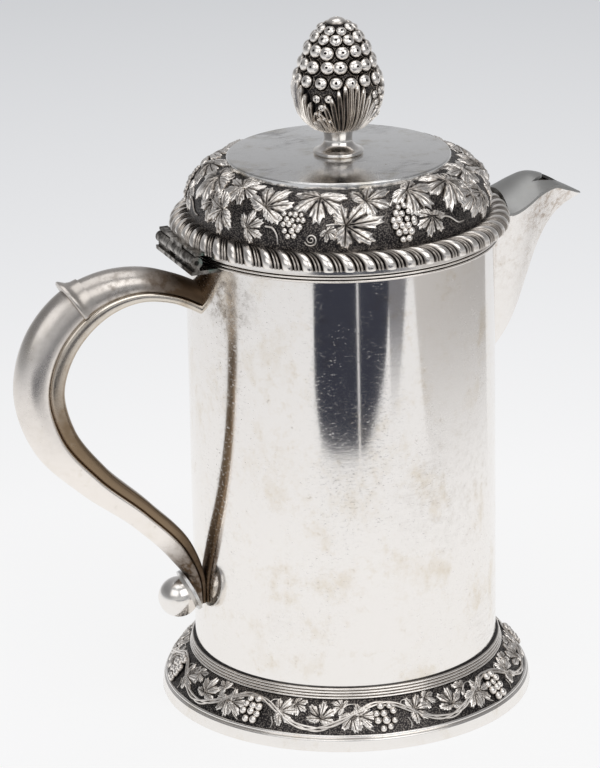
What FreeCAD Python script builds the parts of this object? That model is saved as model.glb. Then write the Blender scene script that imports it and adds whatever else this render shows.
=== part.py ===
import FreeCAD, Part
import Sketcher
import math
import os
from types import SimpleNamespace

# Silver coffee pot with a hinged lid, in millimetres.
# +X is the spout, -X the handle, +Z up, and the origin is the centre of the foot's base.

driving_sizes = {
    # drum and its mouth
    "drum_radius": 50.0,
    "drum_wall": 1.2,
    "rim_height": 157.4,
    "rim_reeds": 3,
    "rim_reed_pitch": 1.07,
    "rim_reed_depth": 1.1,
    "reed_roundness": 0.62,
    "bottom_thickness": 1.2,
    "bottom_rise": 3.2,
    "bottom_lip": 2.8,
    # foot
    "skirt_spread": 11.3,
    "skirt_draft": 0.4,
    "skirt_wall": 1.9,
    "skirt_height": 4.1,
    "skirt_lip_height": 5.4,
    "skirt_lip_setback": 1.3,
    "skirt_shelf_width": 2.6,
    "band_top_spread": 2.2,
    "band_step": 0.4,
    "band_sheet": 1.6,
    "band_top_height": 14.2,
    "band_round": 34.0,
    "collar_reeds": 3,
    "collar_reed_pitch": 1.22,
    "collar_reed_depth": 1.25,
    "collar_reed_spread": 0.25,
    # lid
    "lid_gap": 0.3,
    "flange_overhang": 3.3,
    "flange_thickness": 1.2,
    "bezel_clearance": 0.4,
    "bezel_wall": 1.2,
    "bezel_depth": 5.0,
    "dome_inset": 1.4,
    "dome_wall": 1.2,
    "dome_side_height": 7.6,
    "dome_round": 13.6,
    "dome_ledge": 6.0,
    "plate_overhang": 1.1,
    "plate_thickness": 2.1,
    "plate_edge_round": 0.7,
    # vine relief on the dome
    "vine_repeats": 3,
    "vine_turn": -112.0,
    "vine_drop": 3.5,
    "relief_height": 1.3,
    "relief_sink": 0.6,
    "relief_clearance": 0.2,
    "leaf_middle": 0.3,
    "leaf_depth": 4.0,
    "grape_size": 0.8,
    "grape_lift": 0.28,
    "grape_sink": 0.5,
    "bunch_pitch": 0.93,
    "bunch_row_pitch": 0.84,
    # gadroon border
    "gadroon_lobes": 52,
    "gadroon_overhang": 5.0,
    "gadroon_bulge": 4.4,
    "gadroon_rise": 4.2,
    "gadroon_centre_rise": 1.1,
    "gadroon_depth": 1.0,
    "gadroon_lean": 0.6,
    # hinge
    "hinge_reach": 5.2,
    "hinge_drop": 0.5,
    "hinge_length": 33.0,
    "knuckle_radius": 1.9,
    "knuckle_length": 10.8,
    "knuckle_gap": 0.3,
    "hinge_clearance": 0.35,
    "hinge_pin_radius": 0.8,
    "hinge_pin_clearance": 0.05,
    "hinge_web": 1.8,
    "hinge_plate": 1.25,
    "lid_leaf_plate": 0.9,
    "lid_leaf_overhang": 0.5,
    "body_leaf_overhang": 1.8,
    # finial
    "stud_radius": 1.5,
    "stud_in_fruit": 6.8,
    "stud_tail": 2.0,
    "spool_radius": 8.1,
    "spool_flange": 1.5,
    "spool_neck_radius": 4.2,
    "spool_neck_rise": 4.8,
    "spool_top_radius": 5.6,
    "spool_height": 9.2,
    "spool_cove": 4.2,
    "spool_flare": 3.4,
    "fruit_radius": 14.7,
    "fruit_waist_rise": 11.8,
    "fruit_shoulder_radius": 8.0,
    "fruit_shoulder_rise": 29.6,
    "fruit_height": 35.7,
    "fruit_base_round": 13.2,
    "fruit_side_round": 42.0,
    "fruit_berry_radius": 2.0,
    "fruit_berry_taper": 0.35,
    "calyx_thickness": 1.3,
    "calyx_leaves": 4,
    "calyx_notch_depth": 8.5,
    "calyx_notch_width": 13.0,
    "calyx_rise": 14.3,
    "washer_radius": 5.0,
    "washer_thickness": 1.0,
    "nut_radius": 3.4,
    "nut_height": 3.2,
    # strainer and the window that it covers
    "window_top_drop": 9.0,
    "window_height": 36.0,
    "window_top_half_width": 9.5,
    "window_bottom_half_width": 3.0,
    "strainer_thickness": 1.0,
    "strainer_margin": 3.0,
    "strainer_hole_radius": 2.0,
    "strainer_hole_pitch": 6.0,
    # spout walls and mouth
    "spout_wall": 1.2,
    "spout_clearance": 0.5,
    "spout_seam_drop": 0.5,
    "mouth_back": 17.6,
    "mouth_cusp": 21.6,
    "mouth_front": 27.4,
    "mouth_half_width": 3.9,
    "mouth_lobe_share": 0.72,
    "mouth_flank_bend": 3.2,
    "mouth_lobe_bend": 1.3,
    "mouth_cleft_bend": 1.5,
    # handle
    "handle_wall": 1.2,
    "ridge_height": 2.9,
    "ridge_side": 0.9,
    "ridge_sink": 0.8,
    "ridge_width": 2.6,
    "ridge_lip": 0.9,
    "ball_radius": 6.7,
    "ball_stand_off": 6.9,
    "ball_rise": 2.9,
    "end_plate_thickness": 1.0,
    "end_plate_radius": 7.2,
    "end_plate_turn": 24.0,
    "end_plate_offset": 3.6,
}

# Spout sections from the drum to the tip: reach out from the drum wall, keel drop below the rim,
# half width, and the rise of the side edges and of the crown above the rim.
spout_sections = {
    "root": (-5.0, 73.0, 15.4, 1.0, 4.5),
    "throat": (7.4, 44.4, 13.2, 1.7, 8.0),
    "brow": (16.5, 24.0, 10.3, 5.6, 10.5),
    "beak": (24.0, 7.4, 6.6, 6.6, 8.4),
    "lip": (30.0, 1.9, 3.5, 4.1, 4.7),
    "tip": (35.4, -0.7, 0.5, 1.3, 1.5),
}
spout_words = ("reach", "keel_drop", "half_width", "edge_rise", "crown_rise")

# Handle sections from the upper joint to the lower end, at the middle of the oval: reach out from
# the drum wall, drop below the rim, half width and half depth.
handle_sections = {
    "joint": (-5.0, 19.4, 6.1, 4.4),
    "arm": (8.4, 12.6, 5.9, 4.6),
    "top": (20.1, 10.0, 5.9, 5.6),
    "shoulder": (30.9, 11.4, 6.0, 6.9),
    "ridge": (39.2, 15.2, 6.2, 7.9),
    "bend": (49.0, 25.3, 6.4, 8.4),
    "grip": (53.8, 40.7, 6.4, 8.0),
    "heel": (49.8, 57.2, 6.0, 7.4),
    "shank": (37.1, 73.3, 5.2, 5.9),
    "calf": (20.7, 88.0, 4.5, 4.8),
    "ankle": (7.9, 102.2, 3.9, 4.3),
    "foot": (2.6, 113.2, 3.4, 2.7),
    "end": (1.7, 121.4, 3.0, 1.8),
}
handle_words = ("reach", "drop", "half_width", "half_depth")

# Leaves of one vine motif: turn round the lid and place up the dome of the stalk's end, length, and
# lean to the left of the upright.
leaf_rows = {
    "1": (-50.0, 9.8, 9.4, 122.0),
    "2": (-47.0, 18.6, 8.0, 72.0),
    "3": (-46.0, 18.8, 7.6, -112.0),
    "4": (-30.0, 13.3, 10.2, -28.0),
    "5": (-36.5, 6.2, 6.8, -62.0),
    "6": (-8.0, 18.6, 10.4, 176.0),
    "7": (11.0, 16.6, 10.2, -62.0),
    "8": (1.5, 9.2, 13.0, -86.0),
    "9": (31.0, 19.0, 10.4, -140.0),
    "10": (37.0, 9.0, 7.2, 165.0),
    "11": (54.0, 18.6, 12.2, 146.0),
    "12": (63.0, 11.0, 8.6, 112.0),
}
leaf_words = ("turn", "along", "length", "lean")

# Hanging bunches of the motif: turn and place of the top row's middle, and the berries' size; then
# the berries in each row.
bunch_rows = {"1": (-18.0, 12.0, 1.95), "2": (24.5, 13.4, 2.3)}
bunch_words = ("turn", "along", "size")
bunch_counts = {"1": (4, 5, 4, 3, 2), "2": (2, 3, 4, 4, 3, 2)}

# Rows of berries on the finial's fruit: rise above its base, and berries in the row.
berry_rows = {
    "1": (17.1, 15),
    "2": (21.9, 15),
    "3": (26.3, 13),
    "4": (29.9, 11),
    "5": (32.2, 7),
    "6": (34.0, 3),
}
berry_words = ("rise", "count")

for part_name, rows, words in (
    ("spout", spout_sections, spout_words),
    ("handle", handle_sections, handle_words),
    ("leaf", leaf_rows, leaf_words),
    ("bunch", bunch_rows, bunch_words),
    ("berry", berry_rows, berry_words),
):
    for section, numbers in rows.items():
        for word, number in zip(words, numbers):
            driving_sizes[f"{part_name}_{section}_{word}"] = number

doc = FreeCAD.newDocument("coffee_pot")
sheet = doc.addObject("Spreadsheet::Sheet", "sizes")
for row, (alias, number) in enumerate(driving_sizes.items(), 1):
    sheet.set(f"A{row}", alias)
    sheet.set(f"B{row}", str(number))
    sheet.setAlias(f"B{row}", alias)
doc.recompute()


def as_size(value):
    if isinstance(value, Size):
        return value
    return Size(float(value), f"({float(value)!r})")


class Size:
    # A number together with the sheet expression that gives it.
    def __init__(self, value, text):
        self.value = value
        self.text = text

    def joined(self, sign, other, value):
        return Size(value, f"({self.text} {sign} {other.text})")

    def __add__(self, other):
        other = as_size(other)
        return self.joined("+", other, self.value + other.value)

    def __sub__(self, other):
        other = as_size(other)
        return self.joined("-", other, self.value - other.value)

    def __mul__(self, other):
        other = as_size(other)
        return self.joined("*", other, self.value * other.value)

    def __truediv__(self, other):
        other = as_size(other)
        return self.joined("/", other, self.value / other.value)

    def __radd__(self, other):
        return as_size(other) + self

    def __rsub__(self, other):
        return as_size(other) - self

    def __rmul__(self, other):
        return as_size(other) * self

    def __neg__(self):
        return as_size(0) - self


dim = SimpleNamespace(**{
    alias: Size(float(sheet.get(alias)), f"sizes.{alias}") for alias in driving_sizes
})


def station(part_name, section, words):
    return SimpleNamespace(**{
        word: getattr(dim, f"{part_name}_{section}_{word}") for word in words
    })


# Shared places that follow from the driving sizes.
drum_bore = dim.drum_radius - dim.drum_wall
skirt_radius = dim.drum_radius + dim.skirt_spread
skirt_lip_radius = skirt_radius - dim.skirt_lip_setback
band_bottom_radius = skirt_lip_radius - dim.band_step
band_top_radius = dim.drum_radius + dim.band_top_spread
bottom_height = dim.band_top_height + dim.bottom_rise
gadroon_radius = dim.drum_radius + dim.gadroon_overhang
flange_radius = dim.drum_radius + dim.flange_overhang
dome_radius = dim.drum_radius - dim.dome_inset
dome_round_centre = dome_radius - dim.dome_round
plate_radius = dome_round_centre + dim.plate_overhang
lid_seat = dim.rim_height + dim.lid_gap
flange_top = lid_seat + dim.flange_thickness
dome_side_top = flange_top + dim.dome_side_height
dome_top = dome_side_top + dim.dome_round
plate_top = dome_top + dim.plate_thickness
fruit_base = plate_top + dim.spool_height
hinge_x = dim.drum_radius + dim.hinge_reach
hinge_z = dim.rim_height - dim.hinge_drop
rim_low = dim.rim_height - dim.rim_reeds * dim.rim_reed_pitch
lid_chord = hinge_x - dim.knuckle_radius - dim.hinge_clearance


def root(size):
    return Size(math.sqrt(size.value), f"sqrt({size.text})")


def origin_plane(body, role):
    return next(plane for plane in body.Origin.OriginFeatures if plane.Role == role)


def arc_middle(start, end, bend):
    # Middle of the shorter arc of radius |bend| from start to end; positive bends turn left.
    chord = end - start
    half = chord.Length / 2
    centre_gap = math.sqrt(max(bend * bend - half * half, 0.0))
    left = FreeCAD.Vector(-chord.y, chord.x, 0).normalize()
    side = 1 if bend > 0 else -1
    sag = abs(bend) - centre_gap
    return (start + end) * 0.5 - left * side * sag


def draw(sketch, corners):
    # Closed outline. A corner is (across, up), with the bend of the arc that leaves it as a third
    # entry where the side isn't straight.
    corners = [tuple(as_size(entry) for entry in corner) for corner in corners]
    spots = [FreeCAD.Vector(corner[0].value, corner[1].value, 0) for corner in corners]
    ends = []
    for index, corner in enumerate(corners):
        start = spots[index]
        end = spots[(index + 1) % len(spots)]
        if len(corner) == 2:
            sketch.addGeometry(Part.LineSegment(start, end), False)
            ends.append((1, 2))
            continue
        bend = corner[2]
        middle = arc_middle(start, end, bend.value)
        if bend.value > 0:
            sketch.addGeometry(Part.Arc(start, middle, end), False)
            ends.append((1, 2))
        else:
            sketch.addGeometry(Part.Arc(end, middle, start), False)
            ends.append((2, 1))
    for index, corner in enumerate(corners):
        before = index - 1 if index else len(corners) - 1
        tie = Sketcher.Constraint("Coincident", before, ends[before][1], index, ends[index][0])
        sketch.addConstraint(tie)
        for kind, axis, size in (("DistanceX", -2, corner[0]), ("DistanceY", -1, corner[1])):
            point = (index, ends[index][0])
            if size.value == 0.0:
                sketch.addConstraint(Sketcher.Constraint("PointOnObject", *point, axis))
                continue
            number = sketch.addConstraint(Sketcher.Constraint(kind, -1, 1, *point, size.value))
            sketch.setExpression(f"Constraints[{number}]", size.text)
        if len(corner) == 3:
            bend = corner[2] if corner[2].value > 0 else -corner[2]
            number = sketch.addConstraint(Sketcher.Constraint("Radius", index, bend.value))
            sketch.setExpression(f"Constraints[{number}]", bend.text)


def body_sketch(body, role, name):
    sketch = body.newObject("Sketcher::SketchObject", name)
    sketch.AttachmentSupport = [(origin_plane(body, role), "")]
    sketch.MapMode = "FlatFace"
    return sketch


def turned(label, corners, angle=360.0):
    body = doc.addObject("PartDesign::Body", label)
    sketch = body_sketch(body, "XZ_Plane", f"{label}_outline")
    draw(sketch, corners)
    turn = body.newObject("PartDesign::Revolution", f"{label}_turn")
    turn.Profile = sketch
    turn.ReferenceAxis = (sketch, ["V_Axis"])
    turn.Angle = angle
    turn.Midplane = angle < 360.0
    body.Tip = turn
    return body


def cut(label, base, tool):
    result = doc.addObject("Part::Cut", label)
    result.Base = base
    result.Tool = tool
    return result


def common(label, base, tool):
    result = doc.addObject("Part::Common", label)
    result.Base = base
    result.Tool = tool
    return result


def fused(label, pieces, refine=True):
    result = doc.addObject("Part::MultiFuse", label)
    result.Shapes = pieces
    result.Refine = refine
    return result


def plain_shape(label, shape):
    piece = doc.addObject("Part::Feature", label)
    piece.Shape = shape
    return piece


def faceted_ball(centre, out, across, radius, sink, sides):
    # Half ball of flat facets that points along out, on a straight stem that goes in by sink.
    up = out.cross(across)
    slant = math.sqrt(0.5)
    rings = []
    for share, rise in ((1, -sink), (1, 0), (slant, radius * slant)):
        middle = centre + out * rise
        turns = [2 * math.pi * side / sides for side in range(sides)]
        rings.append([
            middle + (across * math.cos(turn) + up * math.sin(turn)) * radius * share for turn in turns
        ])
    outlines = [rings[0], rings[-1]]
    for low, high in zip(rings, rings[1:]):
        for side in range(sides):
            after = (side + 1) % sides
            outlines.append([low[side], low[after], high[after], high[side]])
    faces = [Part.Face(Part.makePolygon(outline + outline[:1])) for outline in outlines]
    return Part.makeSolid(Part.makeShell(faces))


def joined_shapes(label, shapes):
    return plain_shape(label, shapes[0].multiFuse(shapes[1:]))


def place(piece, spot):
    for axis, size in zip("xyz", spot):
        piece.setExpression(f"Placement.Base.{axis}", as_size(size).text)


def block(label, low, span):
    piece = doc.addObject("Part::Box", label)
    for side, size in zip(("Length", "Width", "Height"), span):
        piece.setExpression(side, as_size(size).text)
    place(piece, low)
    return piece


def rod(label, radius, length, spot, axis=FreeCAD.Vector(0, 0, 1)):
    piece = doc.addObject("Part::Cylinder", label)
    piece.Placement.Rotation = FreeCAD.Rotation(FreeCAD.Vector(0, 0, 1), axis)
    piece.setExpression("Radius", as_size(radius).text)
    piece.setExpression("Height", as_size(length).text)
    place(piece, spot)
    return piece


def section_sketch(name, placement, corners):
    sketch = doc.addObject("Sketcher::SketchObject", name)
    draw(sketch, corners)
    sketch.Placement = placement
    return sketch


def lofted(label, sections):
    loft = doc.addObject("Part::Loft", label)
    loft.Sections = sections
    loft.Solid = True
    loft.Ruled = False
    return loft


def upright_frame(spot, across, up):
    # Placement whose sketch axes run along across and up.
    normal = across.cross(up)
    matrix = FreeCAD.Matrix(
        across.x, up.x, normal.x, spot.x,
        across.y, up.y, normal.y, spot.y,
        across.z, up.z, normal.z, spot.z,
        0, 0, 0, 1,
    )
    return FreeCAD.Placement(matrix)


def reeded_ring(label, low, reeds, pitch, depth, spread):
    # Ring round the drum with a row of half-round reeds; spread widens it towards the foot.
    count = int(reeds.value)
    root = dim.drum_radius + depth * (1 - dim.reed_roundness / 2)
    reed_bend = pitch * dim.reed_roundness
    corners = [(dim.drum_radius, low)]
    for step in range(count):
        corners.append((root + spread * (count - 1 - step), low + pitch * step, reed_bend))
        corners.append((root + spread * (count - 1 - step), low + pitch * (step + 1)))
    corners.append((dim.drum_radius, low + pitch * count))
    merged = [corners[0]]
    for corner, following in zip(corners[1:], corners[2:] + [corners[0]]):
        same_spot = all(abs(a.value - b.value) < 1e-9 for a, b in zip(corner[:2], following[:2]))
        if not same_spot:
            merged.append(corner)
    return turned(label, merged)


# Drum, with the window that leads to the spout.
drum = turned("body_drum", [
    (drum_bore, dim.band_top_height),
    (dim.drum_radius, dim.band_top_height),
    (dim.drum_radius, dim.rim_height),
    (drum_bore, dim.rim_height),
])
window_top = dim.rim_height - dim.window_top_drop
window_low = window_top - dim.window_height
window_sketch = body_sketch(drum, "YZ_Plane", "drum_window_outline")
draw(window_sketch, [
    (-dim.window_bottom_half_width, window_low),
    (dim.window_bottom_half_width, window_low),
    (dim.window_top_half_width, window_top),
    (-dim.window_top_half_width, window_top),
])
doc.recompute()
plain_drum_volume = drum.Shape.Volume
window = drum.newObject("PartDesign::Pocket", "drum_window")
window.Profile = window_sketch
window.Type = "ThroughAll"
window.Reversed = True
drum.Tip = window
doc.recompute()
window_middle = window_top - dim.window_height / 2
window_probe = FreeCAD.Vector((dim.drum_radius - dim.drum_wall / 2).value, 0, window_middle.value)
probe_slack = 0.01
if drum.Shape.Volume >= plain_drum_volume or drum.Shape.isInside(window_probe, probe_slack, True):
    raise RuntimeError("the drum window did not cut the wall behind the spout")

bottom = turned("body_bottom", [
    (0, bottom_height),
    (drum_bore - dim.bottom_thickness, bottom_height),
    (drum_bore - dim.bottom_thickness, bottom_height - dim.bottom_lip),
    (drum_bore, bottom_height - dim.bottom_lip),
    (drum_bore, bottom_height + dim.bottom_thickness),
    (0, bottom_height + dim.bottom_thickness),
])

# Foot: reeded collar, flared band and skirt.
collar = reeded_ring(
    "foot_collar", dim.band_top_height, dim.collar_reeds, dim.collar_reed_pitch,
    dim.collar_reed_depth, dim.collar_reed_spread,
)
band = turned("foot_band", [
    (band_top_radius - dim.band_sheet, dim.band_top_height),
    (band_bottom_radius - dim.band_sheet, dim.skirt_lip_height),
    (band_bottom_radius, dim.skirt_lip_height, dim.band_round),
    (band_top_radius, dim.band_top_height),
])
skirt = turned("foot_skirt", [
    (skirt_radius - dim.skirt_wall, 0),
    (skirt_radius, 0),
    (skirt_radius - dim.skirt_draft, dim.skirt_height),
    (skirt_lip_radius, dim.skirt_lip_height),
    (skirt_lip_radius - dim.skirt_shelf_width, dim.skirt_lip_height),
    (skirt_lip_radius - dim.skirt_shelf_width, dim.skirt_height),
    (skirt_radius - dim.skirt_wall, dim.skirt_height),
])


# Spout: V-sections under a crowned top, cut to the drum and to the lid's path.
narrowest_hollow = 0.3
lowest_hollow = 0.6


def spout_loft(label, inset):
    # inset draws the sections in by the wall, for the hollow; sections too small for it are left out.
    sections = []
    for name in spout_sections:
        row = station("spout", name, spout_words)
        slope = (row.edge_rise + row.keel_drop).value / row.half_width.value
        wall_across = inset * math.sqrt(1 + 1 / (slope * slope))
        wall_up = inset * math.sqrt(1 + slope * slope)
        half_width = row.half_width - wall_across
        keel = dim.rim_height - row.keel_drop + wall_up / 2
        edge = dim.rim_height + row.edge_rise - inset
        crown_height = row.crown_rise - row.edge_rise
        if half_width.value < narrowest_hollow or (edge - keel).value < lowest_hollow:
            continue
        bend = (half_width * half_width + crown_height * crown_height) / (2 * crown_height)
        spot = FreeCAD.Vector((dim.drum_radius + row.reach - inset / 2).value, 0, 0)
        frame = upright_frame(spot, FreeCAD.Vector(0, 1, 0), FreeCAD.Vector(0, 0, 1))
        sections.append(section_sketch(f"{label}_{name}", frame, [
            (0, keel),
            (half_width, edge, bend),
            (-half_width, edge),
        ]))
    return lofted(label, sections)


spout_solid = spout_loft("spout_solid", as_size(0))
spout_hollow = spout_loft("spout_hollow", dim.spout_wall)
drum_keepout = rod("drum_keepout", dim.drum_radius, dim.rim_height * 2, (0, 0, 0))
lid_path_radius = gadroon_radius + dim.spout_clearance
lid_keepout = rod("lid_keepout", lid_path_radius, dim.rim_height, (0, 0, dim.rim_height))
lid_backing = rod(
    "lid_backing", lid_path_radius + dim.spout_wall, dim.rim_height,
    (0, 0, dim.rim_height - dim.spout_wall),
)
spout_outer = cut("spout_outer", cut("spout_off_drum", spout_solid, drum_keepout), lid_keepout)
spout_inner = cut("spout_inner", spout_hollow, lid_backing)
spout_sheet = cut("spout_sheet", spout_outer, spout_inner)

# Everything above a seam just under the side edges of the spout belongs to the cover.
cover_sky = dim.rim_height + dim.spout_brow_crown_rise * 2
cover_sections = []
for name in spout_sections:
    row = station("spout", name, spout_words)
    side = row.half_width + dim.spout_wall * 2
    seam = dim.rim_height + row.edge_rise - dim.spout_seam_drop
    spot = FreeCAD.Vector((dim.drum_radius + row.reach).value, 0, 0)
    frame = upright_frame(spot, FreeCAD.Vector(0, 1, 0), FreeCAD.Vector(0, 0, 1))
    cover_sections.append(section_sketch(f"cover_{name}", frame, [
        (-side, seam),
        (side, seam),
        (side, cover_sky),
        (-side, cover_sky),
    ]))
cover_region = lofted("cover_region", cover_sections)
spout_shell = cut("spout_shell", spout_sheet, cover_region)
closed_cover = common("closed_cover", spout_sheet, cover_region)

# Heart-shaped pouring mouth with its cleft towards the drum.
mouth_sketch = doc.addObject("Sketcher::SketchObject", "mouth_outline")
mouth_back = dim.drum_radius + dim.mouth_back
mouth_cusp = dim.drum_radius + dim.mouth_cusp
mouth_lobe = dim.mouth_half_width * dim.mouth_lobe_share
flank_bend = dim.mouth_half_width * dim.mouth_flank_bend
lobe_bend = dim.mouth_half_width * dim.mouth_lobe_bend
cleft_bend = dim.mouth_half_width * dim.mouth_cleft_bend
draw(mouth_sketch, [
    (dim.drum_radius + dim.mouth_front, 0, flank_bend),
    (mouth_cusp, dim.mouth_half_width, lobe_bend),
    (mouth_back, mouth_lobe, -cleft_bend),
    (mouth_cusp, 0, -cleft_bend),
    (mouth_back, -mouth_lobe, lobe_bend),
    (mouth_cusp, -dim.mouth_half_width, flank_bend),
])
mouth_cutter = doc.addObject("Part::Extrusion", "mouth_cutter")
mouth_cutter.Base = mouth_sketch
mouth_cutter.DirMode = "Normal"
mouth_cutter.Solid = True
mouth_cutter.setExpression("LengthFwd", cover_sky.text)
spout_cover = cut("spout_cover", closed_cover, mouth_cutter)

# Reeded rim wire, which stops at the spout.
rim_ring = reeded_ring(
    "rim_ring", rim_low, dim.rim_reeds, dim.rim_reed_pitch, dim.rim_reed_depth, as_size(0),
)
rim = cut("rim_moulding", rim_ring, spout_solid)

# Pierced strainer against the inside of the drum, over the window.
strainer_top = window_top + dim.strainer_margin
strainer_low = window_low - dim.strainer_margin
strainer_half_width = dim.window_top_half_width + dim.strainer_margin
strainer_angle = 2 * math.degrees(math.asin(strainer_half_width.value / drum_bore.value))
strainer = turned("spout_strainer", [
    (drum_bore - dim.strainer_thickness, strainer_low),
    (drum_bore, strainer_low),
    (drum_bore, strainer_top),
    (drum_bore - dim.strainer_thickness, strainer_top),
], strainer_angle)
holes_sketch = body_sketch(strainer, "YZ_Plane", "strainer_holes_outline")
hole_pitch = dim.strainer_hole_pitch.value
hole_rows = int(dim.window_height.value // hole_pitch)
for hole_row in range(hole_rows):
    height = window_top - dim.strainer_hole_pitch * (hole_row + 0.5)
    share = 1 - (hole_row + 0.5) / hole_rows
    reach = dim.window_bottom_half_width.value * (1 - share) + dim.window_top_half_width.value * share
    holes_in_row = 1 + int(2 * max(reach - dim.strainer_hole_radius.value, 0) // hole_pitch)
    for hole in range(holes_in_row):
        across = dim.strainer_hole_pitch * (hole - (holes_in_row - 1) / 2)
        spot = FreeCAD.Vector(across.value, height.value, 0)
        ring = Part.Circle(spot, FreeCAD.Vector(0, 0, 1), dim.strainer_hole_radius.value)
        index = holes_sketch.addGeometry(ring, False)
        for kind, size in (("DistanceX", across), ("DistanceY", height)):
            if size.value == 0.0:
                holes_sketch.addConstraint(Sketcher.Constraint("PointOnObject", index, 3, -2))
                continue
            tie = Sketcher.Constraint(kind, -1, 1, index, 3, size.value)
            number = holes_sketch.addConstraint(tie)
            holes_sketch.setExpression(f"Constraints[{number}]", size.text)
        round_size = Sketcher.Constraint("Radius", index, dim.strainer_hole_radius.value)
        number = holes_sketch.addConstraint(round_size)
        holes_sketch.setExpression(f"Constraints[{number}]", dim.strainer_hole_radius.text)
doc.recompute()
plain_strainer_volume = strainer.Shape.Volume
piercing = strainer.newObject("PartDesign::Pocket", "strainer_piercing")
piercing.Profile = holes_sketch
piercing.Type = "ThroughAll"
piercing.Reversed = True
strainer.Tip = piercing
doc.recompute()
if strainer.Shape.Volume >= plain_strainer_volume:
    raise RuntimeError("the strainer was not pierced")

# Handle: a hollow tapering oval in two halves, square to a line through the stations.
handle_rows = {name: station("handle", name, handle_words) for name in handle_sections}
handle_points = [
    FreeCAD.Vector(-(dim.drum_radius + row.reach).value, 0, (dim.rim_height - row.drop).value)
    for row in handle_rows.values()
]
handle_line = Part.BSplineCurve()
handle_line.interpolate(handle_points)
handle_frames = {}
for name, point in zip(handle_rows, handle_points):
    along = handle_line.tangent(handle_line.parameter(point))[0]
    across = FreeCAD.Vector(0, 1, 0)
    out = across.cross(along)
    handle_frames[name] = SimpleNamespace(point=point, along=along, across=across, out=out)
oval_arcs = 8


def gap(first, second):
    across = first[0] - second[0]
    up = first[1] - second[1]
    return root(across * across + up * up)


def arc_radius(start, middle, end):
    # Radius of the circle through three points that turn left.
    twice_area = (middle[0] - start[0]) * (end[1] - start[1])
    twice_area = twice_area - (end[0] - start[0]) * (middle[1] - start[1])
    return gap(start, middle) * gap(middle, end) * gap(end, start) / (2 * twice_area)


def oval(half_width, half_depth, centre=0):
    # Ellipse drawn as short arcs, with its middle raised by centre.
    def spot(step):
        turn = 2 * math.pi * (step + 0.5) / oval_arcs
        return half_width * math.cos(turn), half_depth * math.sin(turn) + centre

    corners = []
    for step in range(oval_arcs):
        start, middle, end = spot(step), spot(step + 0.5), spot(step + 1)
        corners.append((*start, arc_radius(start, middle, end)))
    return corners


def handle_loft(label, names, outline):
    sections = []
    for name in names:
        frame = handle_frames[name]
        placement = upright_frame(frame.point, frame.across, frame.out)
        sections.append(section_sketch(f"{label}_{name}", placement, outline(handle_rows[name])))
    return lofted(label, sections)


def inner_side(row):
    side = row.half_width + dim.handle_wall
    under = row.half_depth + dim.handle_wall
    return [(-side, -under), (side, -under), (side, 0), (-side, 0)]


handle_names = list(handle_sections)
hollow_names = handle_names[1:handle_names.index("ankle") + 1]
handle_tube = handle_loft(
    "handle_tube", handle_names, lambda row: oval(row.half_width, row.half_depth),
)
handle_hollow = handle_loft(
    "handle_hollow", hollow_names,
    lambda row: oval(row.half_width - dim.handle_wall, row.half_depth - dim.handle_wall),
)
handle_inner_side = handle_loft("handle_inner_side", handle_names, inner_side)
handle_pipe = cut("handle_pipe", cut("handle_off_drum", handle_tube, drum_keepout), handle_hollow)
handle_outer = cut("handle_outer_half", handle_pipe, handle_inner_side)
handle_inner = common("handle_inner_half", handle_pipe, handle_inner_side)

# Thumb ridge: a flared lip across the shoulder, fitted over the handle. Each station has its share
# of the full height and its shift along the handle.
ridge_stations = {
    "foot": (0.12, -dim.ridge_width),
    "crest": (1.0, as_size(0)),
    "lip": (0.85, dim.ridge_lip),
}
ridge_row = handle_rows["ridge"]
ridge_frame = handle_frames["ridge"]
ridge_sections = []
for name, (share, shift) in ridge_stations.items():
    spot = ridge_frame.point + ridge_frame.along * shift.value
    lift = (dim.ridge_height * share + dim.ridge_sink) / 2
    ridge_sections.append(section_sketch(
        f"ridge_{name}",
        upright_frame(spot, ridge_frame.across, ridge_frame.out),
        oval(
            ridge_row.half_width + dim.ridge_side * share,
            ridge_row.half_depth + lift - dim.ridge_sink,
            lift,
        ),
    ))
ridge = cut("handle_thumb_ridge", lofted("ridge_blank", ridge_sections), handle_tube)

# Ball terminal against a slanted plate, both placed from the lower end of the handle.
ball_x = -(dim.drum_radius + dim.handle_end_reach + dim.ball_stand_off)
ball_z = dim.rim_height - dim.handle_end_drop + dim.ball_rise
end_turn = math.radians(dim.end_plate_turn.value)
towards_handle = FreeCAD.Vector(math.cos(end_turn), 0, math.sin(end_turn))
end_plate_x = ball_x + dim.end_plate_offset * towards_handle.x
end_plate_z = ball_z + dim.end_plate_offset * towards_handle.z
end_plate_blank = rod(
    "end_plate_blank", dim.end_plate_radius, dim.end_plate_thickness, (end_plate_x, 0, end_plate_z),
    towards_handle,
)
end_plate_off_handle = cut("end_plate_off_handle", end_plate_blank, handle_tube)
end_plate_off_drum = cut("end_plate_off_drum", end_plate_off_handle, drum_keepout)
ball_blank = doc.addObject("Part::Sphere", "ball_blank")
ball_blank.setExpression("Radius", dim.ball_radius.text)
place(ball_blank, (ball_x, 0, ball_z))
ball_off_handle = cut("ball_off_handle", ball_blank, handle_tube)
ball = cut("handle_ball", ball_off_handle, drum_keepout)
end_plate = cut("handle_end_plate", end_plate_off_drum, ball_blank)

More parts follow.
